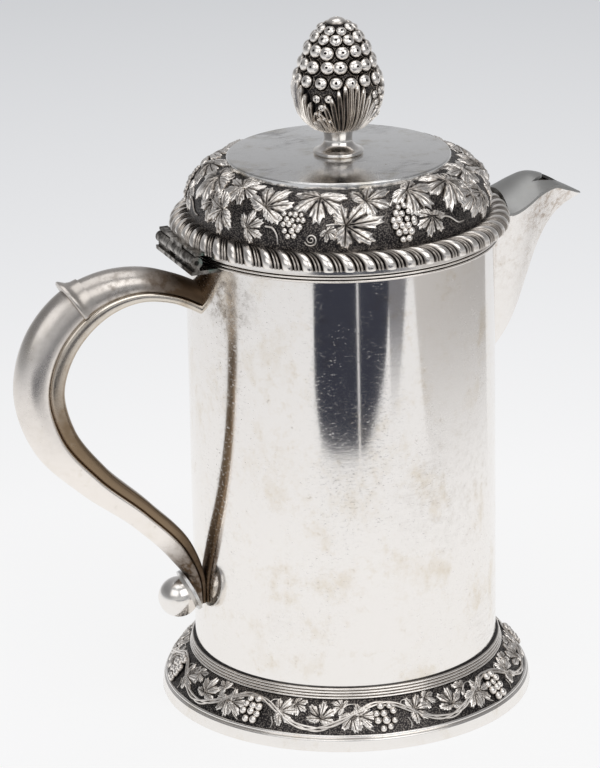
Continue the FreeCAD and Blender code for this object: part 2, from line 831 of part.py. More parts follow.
# Lid: flange, bezel, dome and top plate.
bezel_radius = drum_bore - dim.bezel_clearance
bezel_bore = bezel_radius - dim.bezel_wall
flange_ring = turned("flange_ring", [
    (bezel_bore, lid_seat),
    (flange_radius, lid_seat),
    (flange_radius, flange_top),
    (bezel_bore, flange_top),
])
hinge_side = block(
    "hinge_side",
    (-lid_chord - gadroon_radius, -gadroon_radius, 0),
    (gadroon_radius, gadroon_radius * 2, plate_top),
)
flange = cut("lid_flange", flange_ring, hinge_side)
bezel = turned("lid_bezel", [
    (bezel_bore, lid_seat - dim.bezel_depth),
    (bezel_radius, lid_seat - dim.bezel_depth),
    (bezel_radius, lid_seat),
    (bezel_bore, lid_seat),
])
dome_shell = turned("dome_shell", [
    (dome_radius - dim.dome_wall, flange_top),
    (dome_radius, flange_top),
    (dome_radius, dome_side_top, dim.dome_round),
    (dome_round_centre, dome_top),
    (dome_round_centre - dim.dome_ledge, dome_top),
    (dome_round_centre - dim.dome_ledge, dome_top - dim.dome_wall),
    (dome_round_centre, dome_top - dim.dome_wall, -(dim.dome_round - dim.dome_wall)),
    (dome_radius - dim.dome_wall, dome_side_top),
])
top_plate = turned("lid_top_plate", [
    (dim.stud_radius, dome_top),
    (plate_radius, dome_top),
    (plate_radius, plate_top - dim.plate_edge_round, dim.plate_edge_round),
    (plate_radius - dim.plate_edge_round, plate_top),
    (dim.stud_radius, plate_top),
])

# Vine on the dome: lobed leaves cut from a raised skin, and hanging bunches of berries.
relief_low = flange_top + dim.gadroon_centre_rise + dim.gadroon_rise + dim.relief_clearance
relief_edge = dim.plate_overhang + dim.relief_clearance
relief_bore = dome_round_centre + relief_edge
raised_round = dim.dome_round + dim.relief_height
sunk_round = dim.dome_round - dim.relief_sink
relief_skin = turned("relief_skin", [
    (dome_radius - dim.relief_sink, relief_low),
    (dome_radius + dim.relief_height, relief_low),
    (dome_radius + dim.relief_height, dome_side_top, raised_round),
    (relief_bore, dome_side_top + root(raised_round * raised_round - relief_edge * relief_edge)),
    (relief_bore, dome_side_top + root(sunk_round * sunk_round - relief_edge * relief_edge), -sunk_round),
    (dome_radius - dim.relief_sink, dome_side_top),
])

# Half of a leaf's edge from its tip to its stalk: turn from the tip, and share of the leaf's length.
half_leaf = (
    (0, 1.0), (12, 0.76), (24, 0.5), (36, 0.66), (48, 0.82), (60, 0.64), (72, 0.42),
    (84, 0.52), (97, 0.62), (115, 0.42), (140, 0.26),
)
leaf_edge = half_leaf + ((180, 0.1),) + tuple((-turn, share) for turn, share in half_leaf[:0:-1])


def dome_spot(turn, along):
    # Place on the dome with its own directions: turn in degrees round the lid, along up the dome.
    climb = along - dim.vine_drop.value
    bend = max(climb, 0) / dim.dome_round.value
    radius = dome_round_centre.value + dim.dome_round.value * math.cos(bend)
    height = dome_side_top.value + dim.dome_round.value * math.sin(bend) + min(climb, 0)
    around = math.radians(turn + dim.vine_turn.value)
    ray = FreeCAD.Vector(math.cos(around), math.sin(around), 0)
    upright = FreeCAD.Vector(0, 0, 1)
    return SimpleNamespace(
        radius=radius,
        point=ray * radius + upright * height,
        across=FreeCAD.Vector(-ray.y, ray.x, 0),
        up=upright * math.cos(bend) - ray * math.sin(bend),
        out=ray * math.cos(bend) + upright * math.sin(bend),
    )


def leaf_prism(row, shift):
    # Straight prism with the leaf's edge, square to the dome at the leaf's middle.
    lean = math.radians(row.lean.value)
    middle_reach = dim.leaf_middle.value * row.length.value
    middle_across = -middle_reach * math.sin(lean)
    middle_up = middle_reach * math.cos(lean)
    along = row.along.value + middle_up
    swing = math.degrees(middle_across / dome_spot(0, along).radius)
    spot = dome_spot(row.turn.value + shift + swing, along)
    base = spot.point - spot.out * dim.leaf_depth.value
    edge = []
    for turn, share in leaf_edge:
        angle = math.radians(turn) + lean
        across = -share * row.length.value * math.sin(angle) - middle_across
        up = share * row.length.value * math.cos(angle) - middle_up
        edge.append(base + spot.across * across + spot.up * up)
    return Part.Face(Part.makePolygon(edge + edge[:1])).extrude(spot.out * dim.leaf_depth.value * 2)


def bunch_balls(row, counts, shift):
    # Berries in rows from the top down, clear of each other.
    size = row.size.value
    balls = []
    for line, count in enumerate(counts):
        along = row.along.value - line * size * dim.bunch_row_pitch.value
        for berry in range(count):
            aside = (berry - (count - 1) / 2) * size * dim.bunch_pitch.value
            swing = math.degrees(aside / dome_spot(0, along).radius)
            spot = dome_spot(row.turn.value + shift + swing, along)
            lift = size * dim.grape_lift.value
            balls.append(faceted_ball(
                spot.point + spot.out * lift, spot.out, spot.across, size * dim.grape_size.value / 2,
                lift + dim.grape_sink.value, grape_sides,
            ))
    return balls


grape_sides = 6
leaf_prisms = []
grapes = []
vine_repeats = int(dim.vine_repeats.value)
for repeat in range(vine_repeats):
    shift = 360 * repeat / vine_repeats
    for name in leaf_rows:
        leaf_prisms.append(leaf_prism(station("leaf", name, leaf_words), shift))
    for name, counts in bunch_counts.items():
        grapes.extend(bunch_balls(station("bunch", name, bunch_words), counts, shift))
leaf_relief = common("leaf_relief", relief_skin, joined_shapes("leaf_cutter", leaf_prisms))
grape_relief = joined_shapes("grape_relief", grapes)
dome = fused("lid_dome", [dome_shell, leaf_relief, grape_relief], refine=False)

# Gadroon border: one lobe lofted through leaning outlines, turned round the lid and sewn together.
lobe_count = int(dim.gadroon_lobes.value)
lobe_pitch = 2 * math.pi / lobe_count
border_centre = (gadroon_radius - dim.gadroon_bulge).value
border_middle = (flange_top + dim.gadroon_centre_rise).value
lobe_steps = 6
rise_steps = 7
fade_power = 4
hollow_power = 1.6
low_turn = -math.asin((dim.gadroon_centre_rise / dim.gadroon_rise).value)
high_turn = math.acos((dome_radius.value - border_centre) / dim.gadroon_bulge.value)


def border_point(lobe_share, turn):
    # Point on the border: turn runs from the flange edge over the bulge to the dome.
    rise = (turn - low_turn) / (high_turn - low_turn)
    angle = lobe_pitch * (lobe_share - dim.gadroon_lean.value * rise * rise)
    fade = 1 - rise ** fade_power
    hollow = dim.gadroon_depth.value * fade * abs(math.cos(math.pi * lobe_share)) ** hollow_power
    radius = border_centre + (dim.gadroon_bulge.value - hollow) * math.cos(turn)
    height = border_middle + (dim.gadroon_rise.value - hollow) * math.sin(turn)
    return FreeCAD.Vector(radius * math.cos(angle), radius * math.sin(angle), height)


def border_wire(lobe_share):
    turns = [low_turn + (high_turn - low_turn) * step / rise_steps for step in range(rise_steps + 1)]
    over = [border_point(lobe_share, turn) for turn in turns]
    inner_low = FreeCAD.Vector(over[-1].x, over[-1].y, flange_top.value)
    outer_low = FreeCAD.Vector(over[0].x, over[0].y, flange_top.value)
    back = Part.BSplineCurve()
    back.interpolate([outer_low] + over[1:])
    down = Part.LineSegment(over[-1], inner_low)
    under = Part.LineSegment(inner_low, outer_low)
    return Part.Wire([back.toShape(), down.toShape(), under.toShape()])


lobe_wires = [border_wire(step / lobe_steps) for step in range(lobe_steps + 1)]
lobe_strip = Part.makeLoft(lobe_wires, False, False)
border_faces = []
for lobe in range(lobe_count):
    turned_strip = lobe_strip.copy()
    turned_strip.rotate(FreeCAD.Vector(0, 0, 0), FreeCAD.Vector(0, 0, 1), 360 * lobe / lobe_count)
    border_faces.extend(turned_strip.Faces)
border_shell = Part.makeShell(border_faces)
border_shell.sewShape()
border_blank = plain_shape("border_blank", Part.makeSolid(border_shell))
border = cut("lid_gadroon_border", border_blank, hinge_side)

# Hinge: outer knuckles on the body leaf, middle knuckle on the lid leaf, and the pin.
along_hinge = FreeCAD.Vector(0, 1, 0)
half_hinge = dim.hinge_length / 2
half_knuckle = dim.knuckle_length / 2
outer_knuckle_start = half_knuckle + dim.knuckle_gap
outer_knuckle_length = half_hinge - outer_knuckle_start
body_plate = block(
    "body_plate",
    (-hinge_x - dim.body_leaf_overhang, -half_hinge, rim_low - dim.hinge_plate),
    (hinge_x - dim.drum_radius / 2, dim.hinge_length, dim.hinge_plate),
)
body_leaf_pieces = [body_plate]
for name, start in (("left", outer_knuckle_start), ("right", -half_hinge)):
    body_leaf_pieces.append(rod(
        f"{name}_knuckle", dim.knuckle_radius, outer_knuckle_length, (-hinge_x, start, hinge_z),
        along_hinge,
    ))
    body_leaf_pieces.append(block(
        f"{name}_web",
        (-hinge_x - dim.hinge_web / 2, start, rim_low - dim.hinge_plate),
        (dim.hinge_web, outer_knuckle_length, hinge_z - rim_low + dim.hinge_plate),
    ))
hinge_start = (-hinge_x, -half_hinge, hinge_z)
pin_bore = rod("pin_bore", dim.hinge_pin_radius, dim.hinge_length, hinge_start, along_hinge)
body_leaf_blank = cut("body_leaf_blank", fused("body_leaf_solid", body_leaf_pieces), drum_keepout)
body_leaf = cut("hinge_body_leaf", body_leaf_blank, pin_bore)

lid_leaf_low = hinge_z + dim.knuckle_radius + dim.hinge_clearance
lid_leaf_pieces = [
    block(
        "lid_plate",
        (-hinge_x - dim.lid_leaf_overhang, -half_hinge, lid_leaf_low),
        (hinge_x + dim.lid_leaf_overhang - lid_chord, dim.hinge_length, dim.lid_leaf_plate),
    ),
    rod(
        "middle_knuckle", dim.knuckle_radius, dim.knuckle_length, (-hinge_x, -half_knuckle, hinge_z),
        along_hinge,
    ),
    block(
        "middle_web",
        (-hinge_x - dim.hinge_web / 2, -half_knuckle, hinge_z),
        (dim.hinge_web, dim.knuckle_length, lid_leaf_low - hinge_z + dim.lid_leaf_plate),
    ),
]
running_bore = rod(
    "running_bore", dim.hinge_pin_radius + dim.hinge_pin_clearance, dim.hinge_length, hinge_start,
    along_hinge,
)
lid_leaf = cut("hinge_lid_leaf", fused("lid_leaf_solid", lid_leaf_pieces), running_bore)
pin = rod("hinge_pin", dim.hinge_pin_radius, dim.hinge_length, hinge_start, along_hinge)

# Finial: spool, fruit, calyx, and the stud, washer and nut that hold it.
spool_neck_height = plate_top + dim.spool_neck_rise
spool = turned("finial_spool", [
    (dim.stud_radius, plate_top),
    (dim.spool_radius, plate_top),
    (dim.spool_radius, plate_top + dim.spool_flange, -dim.spool_cove),
    (dim.spool_neck_radius, spool_neck_height, -dim.spool_flare),
    (dim.spool_top_radius, fruit_base),
    (dim.stud_radius, fruit_base),
])
fruit_waist = fruit_base + dim.fruit_waist_rise
fruit_shoulder = fruit_base + dim.fruit_shoulder_rise
fruit_cap = dim.fruit_height - dim.calyx_thickness - dim.fruit_shoulder_rise
core_shoulder_radius = dim.fruit_shoulder_radius - dim.calyx_thickness
shoulder_square = core_shoulder_radius * core_shoulder_radius
fruit_top_round = (shoulder_square + fruit_cap * fruit_cap) / (2 * fruit_cap)
fruit_seat = fruit_base + dim.calyx_thickness
calyx_top = fruit_base + dim.calyx_rise
fruit_core_radius = dim.fruit_radius - dim.calyx_thickness
stud_top = fruit_base + dim.stud_in_fruit
fruit_core = turned("fruit_core", [
    (0, stud_top),
    (dim.stud_radius, stud_top),
    (dim.stud_radius, fruit_seat),
    (dim.spool_top_radius, fruit_seat, dim.fruit_base_round),
    (fruit_core_radius, fruit_waist),
    (fruit_core_radius, calyx_top, dim.fruit_side_round),
    (core_shoulder_radius, fruit_shoulder, fruit_top_round),
    (0, fruit_shoulder + fruit_cap),
])


def arc_centre(start, end, bend):
    # Centre of the shorter arc of radius bend that turns left from start to end.
    chord = end - start
    half = chord.Length / 2
    left = FreeCAD.Vector(-chord.y, chord.x, 0).normalize()
    return (start + end) * 0.5 + left * math.sqrt(bend * bend - half * half)


fruit_side_low = FreeCAD.Vector(fruit_core_radius.value, calyx_top.value, 0)
fruit_side_high = FreeCAD.Vector(core_shoulder_radius.value, fruit_shoulder.value, 0)
fruit_side_centre = arc_centre(fruit_side_low, fruit_side_high, dim.fruit_side_round.value)
fruit_cap_low = (fruit_shoulder + fruit_cap - fruit_top_round).value
berry_sides = 8
berry_balls = []
for number, name in enumerate(berry_rows):
    row = station("berry", name, berry_words)
    height = (fruit_base + row.rise).value
    on_side = height < fruit_shoulder.value
    centre = fruit_side_centre if on_side else FreeCAD.Vector(0, fruit_cap_low, 0)
    bend = (dim.fruit_side_round if on_side else fruit_top_round).value
    climb = height - centre.y
    steep = FreeCAD.Vector(math.sqrt(bend * bend - climb * climb) / bend, climb / bend, 0)
    taper = dim.fruit_berry_taper.value * number / len(berry_rows)
    berry_radius = dim.fruit_berry_radius.value * (1 - taper)
    spot = centre + steep * (bend + dim.calyx_thickness.value - berry_radius)
    count = int(row.count.value)
    for berry in range(count):
        turn = FreeCAD.Rotation(FreeCAD.Vector(0, 0, 1), 360 * (berry + number / 2) / count)
        berry_balls.append(faceted_ball(
            turn.multVec(FreeCAD.Vector(spot.x, 0, spot.y)),
            turn.multVec(FreeCAD.Vector(steep.x, 0, steep.y)),
            turn.multVec(FreeCAD.Vector(0, 1, 0)),
            berry_radius, berry_radius, berry_sides,
        ))
fruit_berries = joined_shapes("fruit_berries", berry_balls)
fruit = fused("finial_fruit", [fruit_core, fruit_berries], refine=False)
calyx_cup = turned("calyx_cup", [
    (dim.stud_radius, fruit_base),
    (dim.spool_top_radius, fruit_base, dim.fruit_base_round + dim.calyx_thickness),
    (dim.fruit_radius, fruit_waist),
    (dim.fruit_radius, calyx_top),
    (fruit_core_radius, calyx_top),
    (fruit_core_radius, fruit_waist, -dim.fruit_base_round),
    (dim.spool_top_radius, fruit_seat),
    (dim.stud_radius, fruit_seat),
])
leaf_count = int(dim.calyx_leaves.value)
notches = []
for leaf in range(leaf_count):
    turn = FreeCAD.Rotation(FreeCAD.Vector(0, 0, 1), 360 * (leaf + 0.5) / leaf_count)
    across = turn.multVec(FreeCAD.Vector(0, 1, 0))
    notch_sketch = section_sketch(
        f"notch_{leaf}_outline",
        upright_frame(FreeCAD.Vector(0, 0, 0), across, FreeCAD.Vector(0, 0, 1)),
        [
            (0, calyx_top - dim.calyx_notch_depth),
            (dim.calyx_notch_width / 2, calyx_top + dim.calyx_thickness),
            (-dim.calyx_notch_width / 2, calyx_top + dim.calyx_thickness),
        ],
    )
    notch = doc.addObject("Part::Extrusion", f"notch_{leaf}")
    notch.Base = notch_sketch
    notch.DirMode = "Normal"
    notch.Solid = True
    notch.setExpression("LengthFwd", (dim.fruit_radius * 2).text)
    notches.append(notch)
calyx = cut("finial_calyx", calyx_cup, fused("calyx_notches", notches))
washer_low = dome_top - dim.washer_thickness
nut_low = washer_low - dim.nut_height
stud_low = nut_low - dim.stud_tail
stud = rod("finial_stud", dim.stud_radius, stud_top - stud_low, (0, 0, stud_low))
washer = turned("finial_washer", [
    (dim.stud_radius, washer_low),
    (dim.washer_radius, washer_low),
    (dim.washer_radius, dome_top),
    (dim.stud_radius, dome_top),
])
nut_blank = doc.addObject("Part::Prism", "nut_blank")
nut_blank.Polygon = 6
nut_blank.setExpression("Circumradius", dim.nut_radius.text)
nut_blank.setExpression("Height", dim.nut_height.text)
place(nut_blank, (0, 0, nut_low))
nut = cut("finial_nut", nut_blank, stud)

pieces = [
    drum, bottom, rim, collar, band, skirt,
    spout_shell, spout_cover, strainer,
    handle_outer, handle_inner, ridge, end_plate, ball,
    body_leaf, pin,
    flange, border, dome, top_plate, bezel, lid_leaf,
    spool, fruit, calyx, stud, washer, nut,
]

doc.recompute()
failed = [item.Name for item in doc.Objects if "Invalid" in item.State or "Error" in item.State]
for piece in pieces:
    shape = piece.Shape
    if shape.isNull() or not shape.isValid() or len(shape.Solids) != 1:
        failed.append(f"{piece.Label} has {len(shape.Solids)} solids")
if failed:
    raise RuntimeError("not built: " + ", ".join(failed))

os.makedirs("parts", exist_ok=True)
for piece in pieces:
    piece.Shape.exportStep(f"parts/{piece.Label}.step")
    print(f"{piece.Label}: {piece.Shape.Volume:.1f} mm3")
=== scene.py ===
import math

import bpy
import numpy as np
from mathutils import Matrix, Vector


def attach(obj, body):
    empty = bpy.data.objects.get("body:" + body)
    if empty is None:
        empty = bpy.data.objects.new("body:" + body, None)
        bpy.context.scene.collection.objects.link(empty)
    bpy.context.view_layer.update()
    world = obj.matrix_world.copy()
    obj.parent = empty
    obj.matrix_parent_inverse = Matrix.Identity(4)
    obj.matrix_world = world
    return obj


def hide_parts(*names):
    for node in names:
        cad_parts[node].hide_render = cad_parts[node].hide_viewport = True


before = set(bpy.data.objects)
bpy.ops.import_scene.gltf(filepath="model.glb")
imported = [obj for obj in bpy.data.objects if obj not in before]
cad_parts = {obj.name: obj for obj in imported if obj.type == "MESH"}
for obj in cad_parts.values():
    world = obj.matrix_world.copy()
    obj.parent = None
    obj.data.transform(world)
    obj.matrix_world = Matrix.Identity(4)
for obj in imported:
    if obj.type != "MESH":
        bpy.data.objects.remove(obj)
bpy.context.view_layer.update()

mm = 0.001
photoTurn = -112.0  # degrees round the pot, from +X, of the side that faces the camera
rng = np.random.default_rng(7)
print("frame loaded:", len(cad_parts), "nodes")


# Shader maths: a socket that takes part in Python expressions.
class Sock:
    def __init__(self, tree, port=None):
        self.tree = tree
        self.port = port

    def add(self, kind, settings=None, sockets=None, out=0):
        node = self.tree.nodes.new(kind)
        for key, value in (settings or {}).items():
            if key == "stops":
                ramp = node.color_ramp.elements
                while len(ramp) < len(value):
                    ramp.new(1.0)
                for stop, (place, colour) in zip(ramp, value):
                    stop.position = place
                    stop.color = (*colour, 1.0)
            else:
                setattr(node, key, value)
        self.wire(node, sockets or {})
        return Sock(self.tree, node.outputs[out])

    def wire(self, node, sockets):
        for key, value in sockets.items():
            if isinstance(value, Sock):
                self.tree.links.new(value.port, node.inputs[key])
            else:
                node.inputs[key].default_value = value

    def place(self):
        return self.add("ShaderNodeTexCoord", out=3)  # the point itself, in metres

    def vector(self, operation, first, second=(0, 0, 0), out=1):
        return self.add("ShaderNodeVectorMath", {"operation": operation}, {0: first, 1: second}, out)

    def maths(self, operation, first, second=0.0, clamp=False):
        settings = {"operation": operation, "use_clamp": clamp}
        return self.add("ShaderNodeMath", settings, {0: first, 1: second})

    def __add__(self, other):
        return self.maths("ADD", self, other)

    def __radd__(self, other):
        return self.maths("ADD", other, self)

    def __sub__(self, other):
        return self.maths("SUBTRACT", self, other)

    def __rsub__(self, other):
        return self.maths("SUBTRACT", other, self)

    def __mul__(self, other):
        return self.maths("MULTIPLY", self, other)

    def __rmul__(self, other):
        return self.maths("MULTIPLY", other, self)

    def clamped(self):
        return self.maths("ADD", self, 0.0, clamp=True)

    def between(self, low, high):
        sockets = {"Value": self, "From Min": low, "From Max": high}
        return self.add("ShaderNodeMapRange", {"interpolation_type": "SMOOTHSTEP"}, sockets)

    def blend(self, first, second):
        settings = {"data_type": "RGBA"}
        sockets = {0: self, 6: colour4(first), 7: colour4(second)}
        return self.add("ShaderNodeMix", settings, sockets, out=2)


def colour4(value):
    return value if isinstance(value, Sock) else (*value, 1.0)


def newMaterial(name):
    material = bpy.data.materials.new(name)
    material.use_nodes = True
    tree = material.node_tree
    return material, Sock(tree), tree.nodes["Principled BSDF"]


def finishMetal(net, surface, look, tint, rough, height, metal=1.0):
    sockets = {"Height": height, "Strength": look["bump"], "Distance": look["bumpDepth"]}
    relief = net.add("ShaderNodeBump", {}, sockets)
    net.wire(surface, {"Base Color": tint, "Roughness": rough, "Metallic": metal, "Normal": relief})


def spread(net, stretch, scale, detail=4.0, roughness=0.55):
    sized = net.add("ShaderNodeMapping", {}, {"Vector": net.place(), "Scale": stretch})
    sockets = {"Vector": sized, "Scale": scale, "Detail": detail, "Roughness": roughness}
    return net.add("ShaderNodeTexNoise", {}, sockets)


def nearSpot(net, centre, radius, core=0.25):
    # 1 within the core's share of the radius round a spot, in millimetres, and 0 beyond the radius.
    spot = tuple(part * mm for part in centre)
    far = net.vector("DISTANCE", net.place(), spot)
    return 1 - far.between(radius * core * mm, radius * mm)


# Plain silver: drum, skirt, handle, spout and rings.
silverLook = {
    "clean": (0.912, 0.882, 0.848),
    "warm": (0.80, 0.73, 0.63),
    "smoke": (0.60, 0.56, 0.52),
    "stainAndShade": (0.12, 0.08, 0.05),
    "warmth": 0.6,
    "smokiness": 0.22,
    "fleck": 0.5,
    "pit": 0.25,
    "roughness": 0.12,
    "cloud": 0.10,
    "dull": 0.06,
    "bump": 0.05,
    "bumpDepth": 0.0002,
    "grain": (10, 10, 120),
    "stainsAndShade": (),  # place in millimetres, reach, strength, share that is speckled
    "haze": (),  # place in millimetres, reach, strength
    "seam": 0.0,  # grime where the piece meets the drum's wall
}

# What all plain silver shares: stretch, scale, detail and roughness of its noise.
silverNoise = {
    "cloud": ((1, 1, 0.55), 34.0),
    "patch": ((1, 1, 0.8), 75.0, 6.0, 0.62),
    "pores": ((1, 1, 1), 900.0, 2.0),
    "specks": ((1, 1, 1), 330.0, 5.0, 0.68),
    "scuffs": ((1, 1, 2.4), 700.0, 6.0, 0.74),
}

# Values of the noise at which each mask begins and is full, and the shares that masks and noise have.
silverWear = {
    "warmPatch": (0.50, 0.74),
    "warmCloud": (0.36, 0.66),
    "smokeCloud": (0.54, 0.80),
    "smokeGrain": (0.35, 0.75),
    "fleck": (0.48, 0.72),
    "fleckPatch": (0.35, 0.70),
    "pit": (0.66, 0.74),
    "roughCloud": (0.30, 0.80),
    "scuff": (0.53, 0.70),
    "scuffCloud": (0.30, 0.62),
    "stainAndShade": (0.42, 0.66),
    "seam": (0.35, 0.65),
    "seamLeast": 0.35,
    "seamWall": (50.0, 52.5),  # millimetres from the pot's axis
    "grainNoise": (9.0, 3.0),
    "grainRough": 0.05,
    "speckRough": 0.03,
    "hazeLeast": 0.55,
    "hazeCloud": 0.5,
    "hazeSpeck": 0.6,
    "hazeRough": 0.12,
    "stainRough": 0.25,
    "grainRipple": 0.6,
    "poreRipple": 0.4,
}


def silverMaterial(name, look):
    material, net, surface = newMaterial(name)
    wear = silverWear
    cloud, patch, pores, specks, scuffs = [spread(net, *noise) for noise in silverNoise.values()]
    grain = spread(net, look["grain"], *wear["grainNoise"])
    warm = patch.between(*wear["warmPatch"]) * cloud.between(*wear["warmCloud"]) * look["warmth"]
    smoke = cloud.between(*wear["smokeCloud"]) * grain.between(*wear["smokeGrain"]) * look["smokiness"]
    flecks = specks.between(*wear["fleck"]) * patch.between(*wear["fleckPatch"]) * look["fleck"]
    pits = specks.between(*wear["pit"]) * look["pit"]
    tint = warm.blend(look["clean"], look["warm"])
    for mask, colour in ((smoke, "smoke"), (flecks, "warm"), (pits, "stainAndShade")):
        tint = mask.blend(tint, look[colour])
    rough = look["roughness"] + cloud.between(*wear["roughCloud"]) * look["cloud"]
    rough = rough + grain * wear["grainRough"] + specks * wear["speckRough"]
    # fine scuffs scatter the light, and show as pale marks in a dark reflection
    rough = rough + scuffs.between(*wear["scuff"]) * cloud.between(*wear["scuffCloud"]) * look["dull"]
    for centre, radius, strength in look["haze"]:
        veil = wear["hazeLeast"] + cloud * wear["hazeCloud"] + (specks - 0.5) * wear["hazeSpeck"]
        mask = nearSpot(net, centre, radius) * veil * strength
        tint = mask.clamped().blend(tint, look["smoke"])
        rough = rough + mask * wear["hazeRough"]
    # darkening round given places: real stains, and round the spool's base partly a painted shadow ring
    for centre, radius, strength, speckled in look["stainsAndShade"]:
        spots = specks.between(*wear["stainAndShade"]) * speckled + (1 - speckled)
        mask = nearSpot(net, centre, radius) * spots * strength
        tint = mask.blend(tint, look["stainAndShade"])
        rough = rough + mask * wear["stainRough"]
    if look["seam"]:
        flat = net.vector("MULTIPLY", net.place(), (1, 1, 0), out=0)
        near, away = wear["seamWall"]
        grime = wear["seamLeast"] + specks.between(*wear["seam"])
        mask = (1 - net.vector("LENGTH", flat).between(near * mm, away * mm)) * grime * look["seam"]
        tint = mask.clamped().blend(tint, look["stainAndShade"])
    ripple = grain * wear["grainRipple"] + pores * wear["poreRipple"]
    finishMetal(net, surface, look, tint, rough, ripple)
    return material


# Chased silver: bright on the tops, oxidised in the ground, by each vertex's own tone; on the reeds, the leaf
# edges and the gadroon's upper part that tone is painted shade and highlight.
chasedLook = {
    "bright": (0.94, 0.895, 0.845),
    "middle": (0.46, 0.415, 0.37),
    "dark": (0.034, 0.031, 0.032),
    "stops": {"dark": 0.13, "middle": 0.46, "bright": 0.74},
    "dirt": ((1, 1, 1), 420.0, 5.0, 0.6),
    "dirtShare": 0.40,
    "cloud": ((1, 1, 1), 90.0),
    "cloudShare": 0.25,
    "roughness": 0.20,
    "tarnishRough": 0.26,
    "bump": 0.25,
    "bumpDepth": 0.0002,
    "stipple": 0.0,
    "stippleScale": 2100.0,
    "stippleDirt": 0.3,
    "stippleDot": (0.10, 0.55),
    "stippleGlint": (0.22, 0.55),
}


def chasedMaterial(name, look):
    material, net, surface = newMaterial(name)
    tone = net.add("ShaderNodeAttribute", {"attribute_name": "tone"}, out=2)
    dirt = spread(net, *look["dirt"])
    cloud = spread(net, *look["cloud"])
    toneAndWear = (tone + (dirt - 0.5) * look["dirtShare"] + (cloud - 0.5) * look["cloudShare"]).clamped()
    stops = [(place, look[colour]) for colour, place in look["stops"].items()]
    tint = net.add("ShaderNodeValToRGB", {"stops": stops}, {"Fac": toneAndWear})
    height = dirt
    stipple = look["stipple"]
    if stipple:
        dots = net.add("ShaderNodeTexVoronoi", {}, {"Vector": net.place(), "Scale": look["stippleScale"]})
        height = dirt * look["stippleDirt"] + (1 - dots.between(*look["stippleDot"])) * stipple
        glint = (1 - dots.between(*look["stippleGlint"])) * stipple
        tint = glint.blend(tint, look["middle"])
    finishMetal(net, surface, look, tint, look["roughness"] + (1 - toneAndWear) * look["tarnishRough"], height)
    return material


# Hinge metal: worn dark silver, green only by the open end of the knuckles.
hingeLook = {
    "clean": (0.46, 0.43, 0.39),
    "dark": (0.055, 0.046, 0.038),
    "green": (0.20, 0.44, 0.38),
    "greenAt": (-50.8, -18.2, 157.2),
    "greenReach": 5.0,
    "greenSpan": (0.40, 0.58),
    "greenDull": 0.7,
    "grime": ((1, 1, 1), 260.0, 6.0, 0.65),
    "grimeSpan": (0.36, 0.64),
    "roughness": 0.24,
    "grimeRough": 0.35,
    "roughSpan": (0.40, 0.70),
    "bump": 0.2,
    "bumpDepth": 0.0003,
}


def hingeMaterial(name, look):
    material, net, surface = newMaterial(name)
    grime = spread(net, *look["grime"])
    tint = grime.between(*look["grimeSpan"]).blend(look["clean"], look["dark"])
    green = nearSpot(net, look["greenAt"], look["greenReach"]) * grime.between(*look["greenSpan"])
    tint = green.blend(tint, look["green"])
    rough = look["roughness"] + grime.between(*look["roughSpan"]) * look["grimeRough"]
    finishMetal(net, surface, look, tint, rough, grime, 1 - green * look["greenDull"])
    return material


drumFinish = dict(
    silverLook, warmth=1.3, smokiness=0.45, fleck=0.7, roughness=0.03, cloud=0.06, dull=0.48, bump=0.03,
    grain=(12, 12, 110),
    stainsAndShade=(((-46, -18, 144), 15.0, 0.6, 0.8), ((22, -45, 80), 34.0, 0.08, 1.0)),
)
handleFinish = dict(
    silverLook, clean=(0.95, 0.895, 0.84), smoke=(0.50, 0.465, 0.43), warmth=0.9, smokiness=0.5,
    grain=(40, 40, 40),
    stainsAndShade=(
        ((-50, -3, 141), 26.0, 1.25, 0.2), ((-64, -5, 149), 8.0, 0.7, 0.4),
        ((-54, 0, 46), 20.0, 1.1, 0.25), ((-76, -5, 148), 11.0, 0.4, 0.9),
    ),
    haze=(((-78, 0, 149), 42.0, 1.0), ((-102, 0, 116), 32.0, 0.22)),
)
stripFinish = dict(
    silverLook, clean=(0.74, 0.68, 0.60), warm=(0.50, 0.40, 0.29), smoke=(0.25, 0.18, 0.115), warmth=0.9,
    smokiness=0.3, roughness=0.09, grain=(40, 40, 40),
    stainsAndShade=(((-54, 0, 46), 22.0, 1.1, 0.25), ((-50, 0, 137), 5.0, 0.8, 0.5)),
    haze=(((-80, 0, 70), 78.0, 1.5),),
)
# the first stain, round the spool's base, is partly a warm stain and partly a painted shadow ring where the
# spool meets the plate
spoolFinishAndShade = dict(
    silverLook, warmth=1.5, smokiness=0.9, fleck=0.9, pit=0.6, roughness=0.06, cloud=0.06, grain=(30, 30, 60),
    stainsAndShade=(((0, 0, 181.5), 9.6, 0.55, 0.6), ((-2, -4, 190), 5.0, 0.5, 0.8)),
)
spoutFinish = dict(
    silverLook, stainAndShade=(0.40, 0.29, 0.20), smokiness=0.25, grain=(40, 40, 14), seam=0.7,
    stainsAndShade=(
        ((73, -7, 158), 17.0, 0.65, 0.9), ((64, -9, 146), 26.0, 0.16, 0.9), ((53, -10, 100), 18.0, 0.12, 1.0),
    ),
)
satinFinish = dict(
    silverLook, clean=(0.72, 0.715, 0.705), warm=(0.62, 0.59, 0.53), smoke=(0.44, 0.43, 0.42),
    stainAndShade=(0.27, 0.18, 0.11), smokiness=0.6, pit=0.2, roughness=0.26, cloud=0.14, bump=0.06,
    grain=(50, 50, 50),
)
plateFinish = dict(
    satinFinish, clean=(0.80, 0.795, 0.785), warmth=1.6, smokiness=2.6, fleck=0.9, pit=0.6, roughness=0.07,
    cloud=0.16, dull=0.12, bump=0.03, grain=(25, 70, 25),
)
